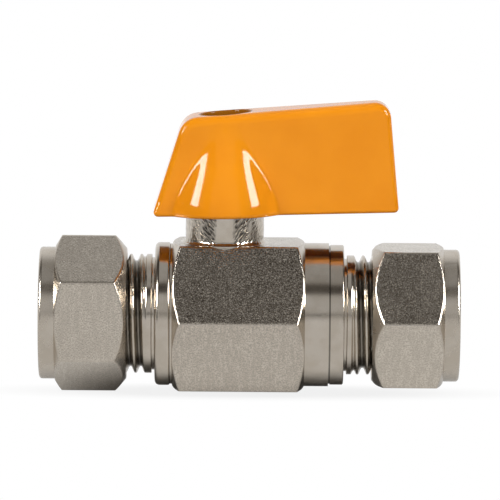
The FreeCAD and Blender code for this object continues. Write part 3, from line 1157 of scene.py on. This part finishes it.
@dataclass
class EndConnector:
    """Outlet end piece: shank in the body, flange, threaded spigot and pipe socket."""

    finish: bpy.types.Material
    joint: JointSizes = field(default_factory=JointSizes)
    shank_radius: float = 10.0
    flange_rise: float = 1.82
    flange_length: float = 2.35
    flange_round: float = 0.30
    socket_length: float = 13.85
    thread_land: float = 0.8
    crest_at_top: float = 34.9

    def build(self) -> bpy.types.Object:
        """Make the connector in place of its CAD node.

        Returns:
            The connector.
        """
        sizes = self.joint
        low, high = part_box("end_connector")
        nose, mouth = low.x / MM, high.x / MM
        shoulder = mouth - sizes.spigot_length
        face = shoulder - self.flange_length
        flange = sizes.thread_radius + self.flange_rise
        land = shoulder + sizes.relief
        full = mouth - sizes.thread_start
        stop = mouth - self.socket_length
        corners = [
            Corner(nose, self.shank_radius),
            Corner(face, self.shank_radius),
            Corner(face, flange),
            Corner(shoulder, flange, self.flange_round),
            Corner(shoulder, sizes.thread_core, sizes.edge_soft),
            Corner(land, sizes.thread_core, sizes.edge_soft),
            Corner(land, sizes.thread_radius, sizes.crest_soft, Wall.THREAD, sizes.thread_step),
            Corner(full, sizes.thread_radius, wall=Wall.THREAD, step=sizes.thread_step),
            Corner(mouth, sizes.thread_core),
            Corner(mouth, sizes.cone_radius, sizes.edge_soft),
            Corner(mouth - sizes.cone_depth, sizes.socket_radius),
            Corner(stop, sizes.socket_radius),
            Corner(stop, sizes.passage_radius),
            Corner(nose + sizes.seat_depth, sizes.passage_radius),
            Corner(nose + sizes.seat_depth, sizes.pocket_radius),
            Corner(nose, sizes.pocket_radius),
        ]
        thread = PipeThread(self.crest_at_top, land + self.thread_land, Side.OUTLET)
        piece = Skin("end_connector_skin", corners, thread=thread).build()
        return seat(piece, self.finish, "valve", "end_connector")


@dataclass
class ValveBody:
    """Forged hexagon body with the inlet spigot, two collars and the stem neck.

    Attributes:
        neck_rough: Height of the neck's ridges, which lean by ridge_lean degrees.
        ridge_edges: Distances beside the neck's middle where its roughness changes, in neck radii.
        ridge_shares: How rough the neck is at each of those.
        quarter_shift: How far apart the patterns of the neck's quarters lie in the noise.
        valley_shade_level: How much painted shade the neck gets at its own radius.
        valley_shade_slope: How much more painted shade a valley gets that is as deep as the ridges are
            high.
    """

    finish: bpy.types.Material
    joint: JointSizes = field(default_factory=JointSizes)
    collar_length: float = 3.05
    collar_rise: float = 2.10
    collar_round: float = 0.85
    groove_width: float = 0.35
    groove_depth: float = 0.45
    hex_length: float = 23.2
    hex_lip: float = 0.20
    hex_chamfer: float = 31.0
    end_collar_rise: float = 2.12
    joint_width: float = 0.3
    joint_depth: float = 0.45
    end_bore: float = 10.03
    end_bore_start: float = 16.5
    cavity_radius: float = 9.1
    seat_wall: float = 2.4
    thread_land: float = 0.9
    crest_at_top: float = -5.85
    stem_x: float = STEM_X
    neck_radius: float = 6.85
    neck_top: float = 20.0
    neck_round: float = 0.8
    neck_lip: float = 0.3
    neck_sink: float = 0.8
    neck_rough: float = 0.11
    neck_columns: int = 440
    fillet_step: float = 0.08
    neck_step: float = 0.12
    quarter_shift: float = 6.0
    ridge_lean: float = 38.0
    ridge_width: float = 0.28
    ridge_length: float = 0.95
    ridge_edges: tuple[float, ...] = (0.20, 0.28, 0.50, 0.62)
    ridge_shares: tuple[float, ...] = (0.0, 1.0, 1.0, 0.45)
    valley_shade_level: float = 0.75
    valley_shade_slope: float = 2.0
    stem_way_radius: float = 3.8
    counterbore_radius: float = 4.9
    counterbore_top: float = 11.01
    lug_top: float = 21.3
    lug_inner: float = 4.6
    lug_outer: float = 6.55
    lug_centre: float = 135.0
    lug_span: float = 86.0
    overrun: float = 1.0

    def corners(self, mouth: float, end: float, hexagon: Hexagon) -> list[Corner]:
        """Section of the body from the inlet's mouth round to its socket.

        Args:
            mouth: Station of the inlet's mouth.
            end: Station of the body's outlet end.
            hexagon: The body's hexagon.

        Returns:
            The section's corners.
        """
        sizes = self.joint
        shoulder = mouth + sizes.spigot_length
        hex_start = shoulder + self.collar_length
        hex_end = hex_start + self.hex_length
        groove = hex_start - self.groove_width
        land = shoulder - sizes.relief
        collar = sizes.thread_radius + self.collar_rise
        end_collar = sizes.thread_radius + self.end_collar_rise
        lip = hexagon.flat - self.hex_lip
        floor = hexagon.flat - self.groove_depth
        cone = hexagon.cone(lip, self.hex_chamfer)
        full = mouth + sizes.thread_start
        pocket_end = self.seat_wall + sizes.seat_depth
        joint = end - self.joint_width
        joint_floor = end_collar - self.joint_depth
        return [
            Corner(mouth, sizes.cone_radius, sizes.edge_soft),
            Corner(mouth, sizes.thread_core, wall=Wall.THREAD, step=sizes.thread_step),
            Corner(full, sizes.thread_radius, wall=Wall.THREAD, step=sizes.thread_step),
            Corner(land, sizes.thread_radius, sizes.crest_soft),
            Corner(land, sizes.thread_core, sizes.edge_soft),
            Corner(shoulder, sizes.thread_core, sizes.edge_soft),
            Corner(shoulder, collar, self.collar_round),
            Corner(groove, collar, self.collar_round / 2),
            Corner(groove, floor),
            Corner(hex_start, floor),
            *hexagon.stretch(hex_start, lip, cone, hex_end, cone),
            Corner(hex_end, lip),
            Corner(hex_end, end_collar),
            Corner(joint, end_collar),
            Corner(joint, joint_floor, wall=Wall.GROOVE),
            Corner(end, joint_floor, wall=Wall.GROOVE),
            Corner(end, self.end_bore),
            Corner(self.end_bore_start, self.end_bore),
            Corner(self.end_bore_start, self.cavity_radius),
            Corner(pocket_end, self.cavity_radius),
            Corner(pocket_end, sizes.pocket_radius),
            Corner(self.seat_wall, sizes.pocket_radius),
            Corner(self.seat_wall, sizes.passage_radius),
            Corner(0.0, sizes.passage_radius),
            Corner(0.0, sizes.socket_radius),
            Corner(mouth + sizes.cone_depth, sizes.socket_radius),
        ]

    def neck(self, flat: float) -> bpy.types.Object:
        """Rough neck that stands on the body's top flat.

        Args:
            flat: Height of the top flat.

        Returns:
            The neck's mesh.
        """
        bottom = flat - self.neck_sink
        along, radius, _ = trace(
            [
                Corner(bottom, self.neck_radius + self.neck_round),
                Corner(flat, self.neck_radius + self.neck_round, step=self.fillet_step),
                Corner(flat + self.neck_round, self.neck_radius, step=self.neck_step),
                Corner(self.neck_top, self.neck_radius, self.neck_lip),
                Corner(self.neck_top, self.stem_way_radius),
                Corner(bottom, self.stem_way_radius),
            ]
        )
        in_fillet = np.clip((along - flat) / self.neck_round, 0, 1)
        flare = 1 - np.sqrt(np.clip(1 - (1 - in_fillet) ** 2, 0, 1))
        outer = radius > (self.stem_way_radius + self.neck_radius) / 2
        on_fillet = outer & (in_fillet < 1) & (along >= flat)
        radius = np.where(on_fillet, self.neck_radius + self.neck_round * flare, radius)
        angles = np.linspace(0, FULL_TURN, self.neck_columns, endpoint=False) + math.pi / 2
        lean = math.radians(self.ridge_lean)
        shares = np.interp(np.abs(np.cos(angles)), self.ridge_edges, self.ridge_shares)
        crinkled = outer[:, None] * shares[None, :]
        points = np.empty((len(along), len(angles), 3))
        for row, (height, reach) in enumerate(zip(along, radius)):
            for column, angle in enumerate(angles):
                beside = self.neck_radius * abs(math.asin(math.cos(angle)))
                over = beside * math.cos(lean) - height * math.sin(lean)
                down = beside * math.sin(lean) + height * math.cos(lean)
                quarter = math.floor(angle / (math.pi / 2)) * self.quarter_shift
                ridge = noise.noise(Vector((over / self.ridge_width, down / self.ridge_length, quarter)))
                out = reach + self.neck_rough * ridge * crinkled[row, column]
                x, y = self.stem_x + out * math.cos(angle), out * math.sin(angle)
                points[row, column] = (x, y, height)
        return closed_grid("neck", points, {})

    def lug(self) -> bpy.types.Object:
        """Stop lug on top of the neck, which the lever's pocket runs against.

        Returns:
            The lug's mesh.
        """
        first = self.lug_centre - self.lug_span / 2
        last = self.lug_centre + self.lug_span / 2
        outer = arc(self.stem_x, self.lug_outer, first, last)
        inner = arc(self.stem_x, self.lug_inner, last, first)
        return prism("lug", outer + inner, self.neck_top - OVERLAP, self.lug_top)

    def shade_neck_valleys(self, piece: bpy.types.Object, flat: float) -> None:
        """Mark the valleys between the neck's ridges as sunk for painted shade, and nothing else above
        the top flat.

        Args:
            piece: The body with its neck.
            flat: Height of the top flat.
        """
        places = np.empty(3 * len(piece.data.vertices))
        piece.data.vertices.foreach_get("co", places)
        x, y, z = places.reshape(-1, 3)[corner_owners(piece.data)].T / MM
        mask = piece.data.attributes[SUNK].data
        sunk = np.empty(len(mask))
        mask.foreach_get("value", sunk)
        aside = np.abs(x - self.stem_x)
        depth = (self.neck_radius - np.hypot(aside, y)) / self.neck_rough
        # Painted shade: the deeper a valley between the ridges, the darker it is drawn.
        valley = np.clip(self.valley_shade_level + self.valley_shade_slope * depth, 0, 1)
        share = np.interp(aside / self.neck_radius, self.ridge_edges, self.ridge_shares)
        mask.foreach_set("value", np.where(z > flat, valley * share, sunk))

    def build(self) -> bpy.types.Object:
        """Make the body in place of its CAD node.

        Returns:
            The body.
        """
        low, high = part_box("valve_body")
        flat = high.y / MM * math.cos(math.pi / HEX_SIDES)
        hexagon = Hexagon(flat, math.pi / HEX_SIDES)
        mouth, end = low.x / MM, high.x / MM
        land = mouth + self.joint.spigot_length - self.joint.relief
        thread = PipeThread(self.crest_at_top, land - self.thread_land, Side.INLET)
        piece = Skin("valve_body_skin", self.corners(mouth, end, hexagon), hexagon, thread).build()
        combine(piece, self.neck(flat), "UNION")
        combine(piece, self.lug(), "UNION")
        stem_way = circle(self.stem_x, self.stem_way_radius)
        combine(piece, prism("stem_way", stem_way, 0.0, self.lug_top + self.overrun), "DIFFERENCE")
        counterbore = circle(self.stem_x, self.counterbore_radius)
        combine(piece, prism("counterbore", counterbore, 0.0, self.counterbore_top), "DIFFERENCE")
        self.shade_neck_valleys(piece, flat)
        return seat(piece, self.finish, "valve", "valve_body")


@dataclass
class Lever:
    """Painted lever: a tapering blade on a bell-shaped hub, hollow underneath over stem and neck.

    Lengths are from the stem's axis and heights from the pipe's axis.

    Attributes:
        round_rise: Height over which the base's rounding grows into the edges'.
        hub_fullness: Below 1, the bell draws in early; above 1, it stays wide for longer.
        face_middle: Length and height of the point that the faces' rings shrink to.
        underside: Upward part of a face's normal below which the face counts as underneath.
        hollow_shade: How strongly the paint is darkened as painted shade underneath and in the hollows.
        hole_shade: How strongly the paint is darkened as painted shade in the hole down to the screw.
    """

    finish: bpy.types.Material
    stem_x: float = STEM_X
    tip_reach: float = 30.5
    tip_lean: float = 1.8
    heel_reach: float = 12.75
    heel_lean: float = 5.4
    heel_top: float = 35.0
    tip_top: float = 38.0
    heel_bottom: float = 17.7
    tip_bottom: float = 18.5
    heel_round: float = 3.7
    tip_round: float = 2.8
    foot_round: float = 0.8
    outline_step: float = 0.4
    hub_half: float = 5.9
    tip_half: float = 3.4
    taper_start: float = 2.0
    taper_blend: float = 2.6
    edge_round: float = 0.9
    top_round: float = 1.7
    base_round: float = 0.6
    round_rise: float = 3.0
    rim_steps: int = 10
    hub_radius: float = 10.65
    hub_top: float = 35.6
    hub_fullness: float = 0.90
    hub_blend: float = 0.45
    face_middle: Span = (8.0, 27.0)
    face_rings: int = 44
    recess_radius: float = 7.15
    lug_radius: float = 4.6
    lug_half_span: float = 90.5
    lug_bottom: float = 20.3
    recess_top: float = 21.6
    socket_radius: float = 3.8
    socket_half: float = 2.85
    web_bottom: float = 26.2
    web_top: float = 28.2
    screw_hole_radius: float = 2.25
    access_radius: float = 4.45
    access_round: float = 0.35
    wall: float = 2.0
    core_round: float = 0.8
    core_round_steps: int = 4
    overrun: float = 2.0
    underside: float = -0.7
    hollow_shade: float = 0.25
    hole_shade: float = 0.8

    def base(self, x: np.ndarray | float) -> np.ndarray | float:
        """Height of the sloping base at a station."""
        slope = (self.tip_bottom - self.heel_bottom) / (self.tip_reach + self.heel_reach)
        return self.heel_bottom + slope * (x - self.stem_x + self.heel_reach)

    def top(self, x: np.ndarray | float) -> np.ndarray | float:
        """Height of the sloping top.

        Args:
            x: Station or stations.

        Returns:
            The height at each station.
        """
        heel = self.stem_x - self.heel_reach + self.heel_lean
        tip = self.stem_x + self.tip_reach - self.tip_lean
        return self.heel_top + (self.tip_top - self.heel_top) * (x - heel) / (tip - heel)

    def blade_half(self, x: np.ndarray | float) -> np.ndarray | float:
        """Half the blade's thickness, which tapers towards the tip.

        Args:
            x: Station or stations.

        Returns:
            The half thickness at each station.
        """
        slope = (self.hub_half - self.tip_half) / (self.tip_reach - self.taper_start)
        past = x - self.stem_x - self.taper_start
        bend = np.maximum(past + self.taper_blend, 0) ** 2 / (4 * self.taper_blend)
        return self.hub_half - slope * np.where(past > self.taper_blend, past, bend)

    def half_width(self, x: np.ndarray, z: np.ndarray) -> np.ndarray:
        """Half the lever's thickness, where the hub runs softly into the blade.

        Args:
            x: Stations.
            z: Heights.

        Returns:
            The half thickness at each point.
        """
        foot = self.base(self.stem_x)
        rise = np.clip((z - foot) / (self.hub_top - foot), 0, 1)
        bell = (1 + np.cos(math.pi * rise**self.hub_fullness)) / 2
        reach = self.hub_half + (self.hub_radius - self.hub_half) * bell
        hub = np.sqrt(np.maximum(reach**2 - (x - self.stem_x) ** 2, 0))
        return -soft_lower(-self.blade_half(x), -hub, self.hub_blend)

    def shell(self) -> bpy.types.Object:
        """Outside of the lever: two faces that roll over into one rim.

        Returns:
            The closed mesh.
        """
        heel, tip = self.stem_x - self.heel_reach, self.stem_x + self.tip_reach
        step = self.outline_step
        x, z, _ = trace(
            [
                Corner(heel, self.heel_bottom, self.foot_round, step=step),
                Corner(heel + self.heel_lean, self.heel_top, self.heel_round, step=step),
                Corner(tip - self.tip_lean, self.tip_top, self.tip_round, step=step),
                Corner(tip, self.tip_bottom, self.foot_round, step=step),
            ]
        )
        along = np.stack([np.roll(x, -1) - np.roll(x, 1), np.roll(z, -1) - np.roll(z, 1)])
        inward = np.stack([along[1], -along[0]]) / np.linalg.norm(along, axis=0)
        height = np.clip((z - self.base(x)) / self.round_rise, 0, 1)
        upward = np.clip(-inward[1], 0, 1)
        upper = self.edge_round + (self.top_round - self.edge_round) * upward
        soft = self.base_round + (upper - self.base_round) * height
        edge_x, edge_z = x + inward[0] * soft, z + inward[1] * soft
        crest = self.half_width(edge_x, edge_z)
        middle_x, middle_z = self.stem_x + self.face_middle[0], self.face_middle[1]
        rings = []
        for share in np.linspace(0, 1, self.face_rings + 1)[1:]:
            face_x = middle_x + share * (edge_x - middle_x)
            face_z = middle_z + share * (edge_z - middle_z)
            rings.append(np.stack([face_x, -self.half_width(face_x, face_z), face_z], axis=-1))
        for turn in np.linspace(math.pi / 2, 0, self.rim_steps + 1)[1:]:
            inset = soft * (1 - math.cos(turn))
            fall = crest - soft * (1 - math.sin(turn))
            rings.append(np.stack([x + inward[0] * inset, -fall, z + inward[1] * inset], axis=-1))
        front = np.array(rings)
        back = front[::-1] * np.array([1, -1, 1])
        return capped_grid("lever_skin", np.concatenate([front, back]))

    def access_hole(self) -> bpy.types.Object:
        """Hole down to the screw's head, with a softly rounded mouth.

        Returns:
            The mesh to cut with.
        """
        across = np.array(circle(0.0, 1.0))
        rings = [(self.access_radius, self.web_top - self.top(self.stem_x), 0.0)]
        for turn in np.linspace(0, math.pi / 2, self.rim_steps):
            out = self.access_radius + self.access_round * (1 - math.cos(turn))
            rings.append((out, self.access_round * (math.sin(turn) - 1), 1.0))
        rings.append((self.access_radius + self.access_round, self.overrun, 1.0))
        points = []
        for radius, height, tilt in rings:
            x, y = self.stem_x + across[:, 0] * radius, across[:, 1] * radius
            level = self.top(self.stem_x + tilt * (x - self.stem_x)) + height
            points.append(np.stack([x, y, level], axis=-1))
        return capped_grid("access_hole", np.array(points))

    def core(self) -> bpy.types.Object:
        """Hollow in the blade beyond the hub, open underneath.

        Returns:
            The mesh to cut with.
        """
        start = self.stem_x + self.recess_radius + self.wall
        end = self.stem_x + self.tip_reach - self.wall
        section = [
            (start, self.base(start) - self.overrun),
            (start, self.top(start) - self.wall),
            (end - self.tip_lean, self.top(end) - self.wall),
            (end, self.base(end) - self.overrun),
        ]
        faces = ([(x, s * (self.blade_half(x) - self.wall), z) for x, z in section] for s in (-1, 1))
        hollow = bar("core", *faces)
        bevel = hollow.modifiers.new("round", "BEVEL")
        bevel.width = self.core_round * MM
        bevel.segments = self.core_round_steps
        return hollow

    def hollows(self) -> list[bpy.types.Object]:
        """Everything that is cut out of the lever.

        Returns:
            The meshes to cut with.
        """
        stem_x, span = self.stem_x, self.lug_half_span
        low = self.heel_bottom - self.overrun
        past_lug = arc(stem_x, self.recess_radius, span, 360 - span)
        past_lug += arc(stem_x, self.lug_radius, -span, span)
        flat = math.degrees(math.asin(self.socket_half / self.socket_radius))
        socket = arc(stem_x, self.socket_radius, -flat, flat)
        socket += arc(stem_x, self.socket_radius, 180 - flat, 180 + flat)
        screw_hole = circle(stem_x, self.screw_hole_radius)
        return [
            prism("recess", circle(stem_x, self.recess_radius), low, self.lug_bottom),
            prism("lug_room", past_lug, self.lug_bottom - OVERLAP, self.recess_top),
            prism("socket", socket, self.recess_top - OVERLAP, self.web_bottom),
            prism("screw_hole", screw_hole, self.web_bottom - OVERLAP, self.web_top + OVERLAP),
            self.access_hole(),
            self.core(),
        ]

    def build(self) -> bpy.types.Object:
        """Make the lever in place of its CAD node.

        Returns:
            The lever.
        """
        piece = self.shell()
        for hollow in self.hollows():
            # Painted shade: every cut face is marked for darker paint, most of all in the access hole.
            mask = hollow.data.attributes[PAINTED_HOLLOW_SHADE].data
            shade_share = self.hole_shade if hollow.name == "access_hole" else self.hollow_shade
            mask.foreach_set("value", np.full(len(mask), shade_share))
            combine(piece, hollow, "DIFFERENCE")
        # Painted shade: faces that look downward are marked for darker paint too.
        mask = piece.data.attributes[PAINTED_HOLLOW_SHADE].data
        for face in piece.data.polygons:
            if face.normal.z < self.underside:
                mask[face.index].value = self.hollow_shade
        return seat(piece, self.finish, "lever", "lever_handle")


def facing(place: Vector, right: Vector, up: Vector, behind: Vector) -> Matrix:
    """Placement of a lamp or camera at a place, by the directions of its own three axes."""
    return Matrix.Translation(place) @ Matrix((right, up, behind)).transposed().to_4x4()


@dataclass(frozen=True)
class SoftBox:
    """Tall flat lamp in front of the valve, turned towards it, with sizes in metres.

    Attributes:
        reach: Distance to one side of the stem.
        depth: Distance in front of the pipe.
        bottom: Height of its bottom.
        top: Height of its top.
        width: Its width.
        brightness: Its light per area.
        mirrored: Whether it makes highlights, or else lights what is matt.
    """

    reach: float
    depth: float
    bottom: float
    top: float
    width: float
    brightness: float
    mirrored: bool


@dataclass
class Studio:
    """White sweep, soft boxes and low dark cards at both sides, the room's own light and the camera.

    Attributes:
        floor_level: Height of the floor, in metres.
        target: Point that the photograph's middle shows, in millimetres.
        distance: Distance from there to the camera, in metres.
        card_span: Angles between which a side card curves, in degrees from the front.
        card_reach: Distance of the side cards from the target, in metres.
        card_top: Height of the side cards' tops.
        dark: Strength of the room where nothing pale stands.
        back: Strength of the white back, and back_rise the directions over which it sets in.
        front: Strength of the pale card in front, and front_top and front_half its soft edges.
        top: Strength of the card above, and overhead_rise and overhead_half its soft edges.
        slot: Angles above level of a dark slot in the front card, in degrees.
    """

    floor_level: float
    target: Point = (14.95, 0.0, 11.36)
    distance: float = 1.0
    pixels_per_mm: float = 5.69
    image_width: int = 500
    pitch: float = 7.0
    roll: float = 0.45
    sight_end: float = 100.0
    floor_size: float = 12.0
    card_span: Span = (30.0, 66.0)
    card_steps: int = 24
    card_reach: float = 0.25
    card_top: float = 0.065
    streak_box: SoftBox = SoftBox(
        reach=0.80, depth=0.41, bottom=0.25, top=0.80, width=0.27, brightness=32.0, mirrored=True
    )
    fill_box: SoftBox = SoftBox(
        reach=0.82, depth=0.55, bottom=0.20, top=0.90, width=0.45, brightness=10.1, mirrored=False
    )
    dark: float = 0.05
    dark_tint: Rgb = (1.0, 0.88, 0.74)
    back: float = 0.88
    back_rise: Span = (0.25, 0.80)
    front: float = 0.50
    front_top: Span = (0.67, 0.73)
    front_half: Span = (0.50, 0.56)
    top: float = 0.40
    overhead_rise: Span = (0.95, 1.08)
    overhead_half: Span = (0.07, 0.14)
    slot: Span = (5.5, 8.5)
    slot_half: Span = (0.07, 0.10)
    slot_edge: float = 0.02

    def floor(self) -> bpy.types.Object:
        """Make the pale floor, which is plain white away from the valve.

        Returns:
            The floor.
        """
        bpy.ops.mesh.primitive_plane_add(size=self.floor_size, location=(0, 0, self.floor_level))
        plane = bpy.context.object
        plane.name = "floor"
        dress(plane, WhiteSweep("white_sweep", self.target[0] * MM).material())
        plane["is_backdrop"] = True
        return plane

    def side_card(self, side: Side) -> bpy.types.Object:
        """Low dark card that curves round one side of the valve, out of the camera's sight.

        Args:
            side: The end of the valve that it stands beside.

        Returns:
            The card.
        """
        count = self.card_steps
        turns = np.radians(np.linspace(*self.card_span, count))
        x = self.target[0] * MM + side.value * self.card_reach * np.sin(turns)
        y = -self.card_reach * np.cos(turns)
        rows = [np.stack([x, y, 0 * x + level], axis=-1) for level in (self.floor_level, self.card_top)]
        faces = [(i, i + 1, count + i + 1, count + i) for i in range(count - 1)]
        mesh = bpy.data.meshes.new(f"side_card_{side.name.lower()}")
        mesh.from_pydata(np.concatenate(rows), [], faces)
        card = stand(mesh.name, mesh)
        dress(card, MattCard(mesh.name).material())
        card.visible_camera = False
        card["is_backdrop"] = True
        return card

    def world(self) -> None:
        """Light from all round: a dark room with a white back, a pale card in front and one above."""
        world = bpy.data.worlds.new("studio")
        bpy.context.scene.world = world
        world.use_nodes = True
        graph = ShaderGraph(world.node_tree)
        direction = graph.add("ShaderNodeTexCoord", output="Generated")
        x, y, z = graph.axes(direction)
        turn = z.angle_from(0 - y)
        aside = abs(x).angle_from(0 - y)
        low, high = (math.radians(angle) for angle in self.slot)
        slot = turn.rise(low - self.slot_edge, low) * (1 - turn.rise(high, high + self.slot_edge))
        slot = slot * (1 - aside.rise(*self.slot_half))
        card = (1 - turn.rise(*self.front_top)) * (1 - aside.rise(*self.front_half)) * (1 - slot)
        back = y.rise(*self.back_rise)
        overhead = turn.rise(*self.overhead_rise) * (1 - abs(x).rise(*self.overhead_half)) * (1 - back)
        lit = card * self.front + overhead * self.top + back * (self.back - self.dark)
        seen = graph.ray("Camera")
        colour = graph.blend((lit + seen).rise(0.0, self.top), self.dark_tint, WHITE)
        strength = self.dark + lit + seen * (1 - self.dark - lit)
        graph.feed(world.node_tree.nodes["Background"], {"Color": colour, "Strength": strength})

    def soft_box(self, side: Side, box: SoftBox) -> bpy.types.Object:
        """Put up a soft box at one side of the valve.

        Args:
            side: The end of the valve that it stands beside.
            box: The soft box.

        Returns:
            The lamp.
        """
        lamp = bpy.data.lights.new(f"soft_box_{side.name.lower()}", "AREA")
        lamp.shape = "RECTANGLE"
        lamp.size = box.width
        lamp.size_y = box.top - box.bottom
        lamp.energy = box.brightness * math.pi * lamp.size * lamp.size_y
        place = Vector((side.value * box.reach, -box.depth, (box.bottom + box.top) / 2))
        outward = Vector((place.x, place.y, 0)).normalized()
        up = Vector((0, 0, 1))
        holder = stand(lamp.name, lamp)
        holder.matrix_world = facing(place, up.cross(outward), up, outward)
        holder.visible_glossy = box.mirrored
        holder.visible_diffuse = not box.mirrored
        return holder

    def camera(self) -> bpy.types.Object:
        """Place the camera at the photograph's viewing angle.

        Returns:
            The camera.
        """
        lens = bpy.data.cameras.new("camera")
        focal_pixels = self.pixels_per_mm / MM * self.distance
        lens.lens = focal_pixels * lens.sensor_width / self.image_width
        lens.clip_end = self.sight_end
        pitch, roll = math.radians(self.pitch), math.radians(self.roll)
        forward = Vector((0, math.cos(pitch), -math.sin(pitch)))
        level = Vector((1, 0, 0))
        up = level.cross(forward)
        right = level * math.cos(roll) + up * math.sin(roll)
        place = Vector(self.target) * MM - forward * self.distance
        viewer = stand("camera", lens)
        viewer.matrix_world = facing(place, right, right.cross(forward), -forward)
        bpy.context.scene.camera = viewer
        return viewer

    def build(self) -> None:
        """Set up the floor, the light and the camera."""
        self.floor()
        self.world()
        for side in Side:
            for box in (self.streak_box, self.fill_box):
                LOG.info("soft box: %s", self.soft_box(side, box).name)
            LOG.info("side card: %s", self.side_card(side).name)
        LOG.info("camera: %s", self.camera().name)
        bpy.context.scene.view_settings.view_transform = "Standard"


@dataclass
class Inners:
    """CAD nodes whose shape stays as packed, and the finishes they get."""

    brass: Finish = PlainMetal("plain_brass")
    polished: Finish = PlainMetal(
        "polished_ball",
        colour=(0.70, 0.70, 0.69),
        tarnish=(0.64, 0.64, 0.63),
        line_stretch=EVEN,
        line_size=0.5,
        line_height=0.001,
        roughness=0.08,
    )
    zinc: Finish = PlainMetal(
        "zinc_plated_steel",
        colour=(0.62, 0.63, 0.64),
        tarnish=(0.50, 0.52, 0.55),
        line_stretch=(0.05, 0.05, 1.0),
        line_size=0.1,
        roughness=0.28,
    )
    plastic: Finish = SealMaterial("seat_plastic")
    rubber: Finish = SealMaterial(
        "seal_rubber", colour=(0.02, 0.02, 0.02), dark_colour=(0.035, 0.035, 0.035), roughness=0.55
    )

    def build(self, nodes: dict[str, bpy.types.Object]) -> None:
        """Dress the CAD nodes.

        Args:
            nodes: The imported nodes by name.
        """
        wearers = [
            (self.brass, ["stem", "inlet_olive", "outlet_olive"]),
            (self.polished, ["ball"]),
            (self.zinc, ["handle_screw"]),
            (self.plastic, ["inlet_seat", "outlet_seat", "thrust_washer"]),
            (self.rubber, ["lower_stem_ring", "upper_stem_ring"]),
        ]
        for finish, names in wearers:
            material = finish.material()
            for name in names:
                dress(nodes[name], material)
                LOG.info("%s dressed in %s", name, finish.name)


def corner_lists(box: tuple[Vector, Vector]) -> list[list[float]]:
    """Lowest and highest corner of a box as plain lists."""
    return [list(corner) for corner in box]


def main() -> None:
    """Build the valve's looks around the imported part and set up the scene."""
    logging.basicConfig(level=logging.INFO, format="%(message)s")
    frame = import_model()
    cad_box = corner_lists(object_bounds())
    nickel = NickelPlate("nickel_plate").material()
    smooth_nickel = SMOOTH_PLATE.material()
    for side in Side:
        LOG.info("nut: %s", CompressionNut(side, smooth_nickel).build().name)
    LOG.info("connector: %s", EndConnector(nickel).build().name)
    LOG.info("body: %s", ValveBody(nickel).build().name)
    LOG.info("lever: %s", Lever(LeverPaint("lever_paint").material()).build().name)
    Inners().build(frame["nodes"])
    Studio(cad_box[0][2]).build()


if __name__ == "__main__":
    main()
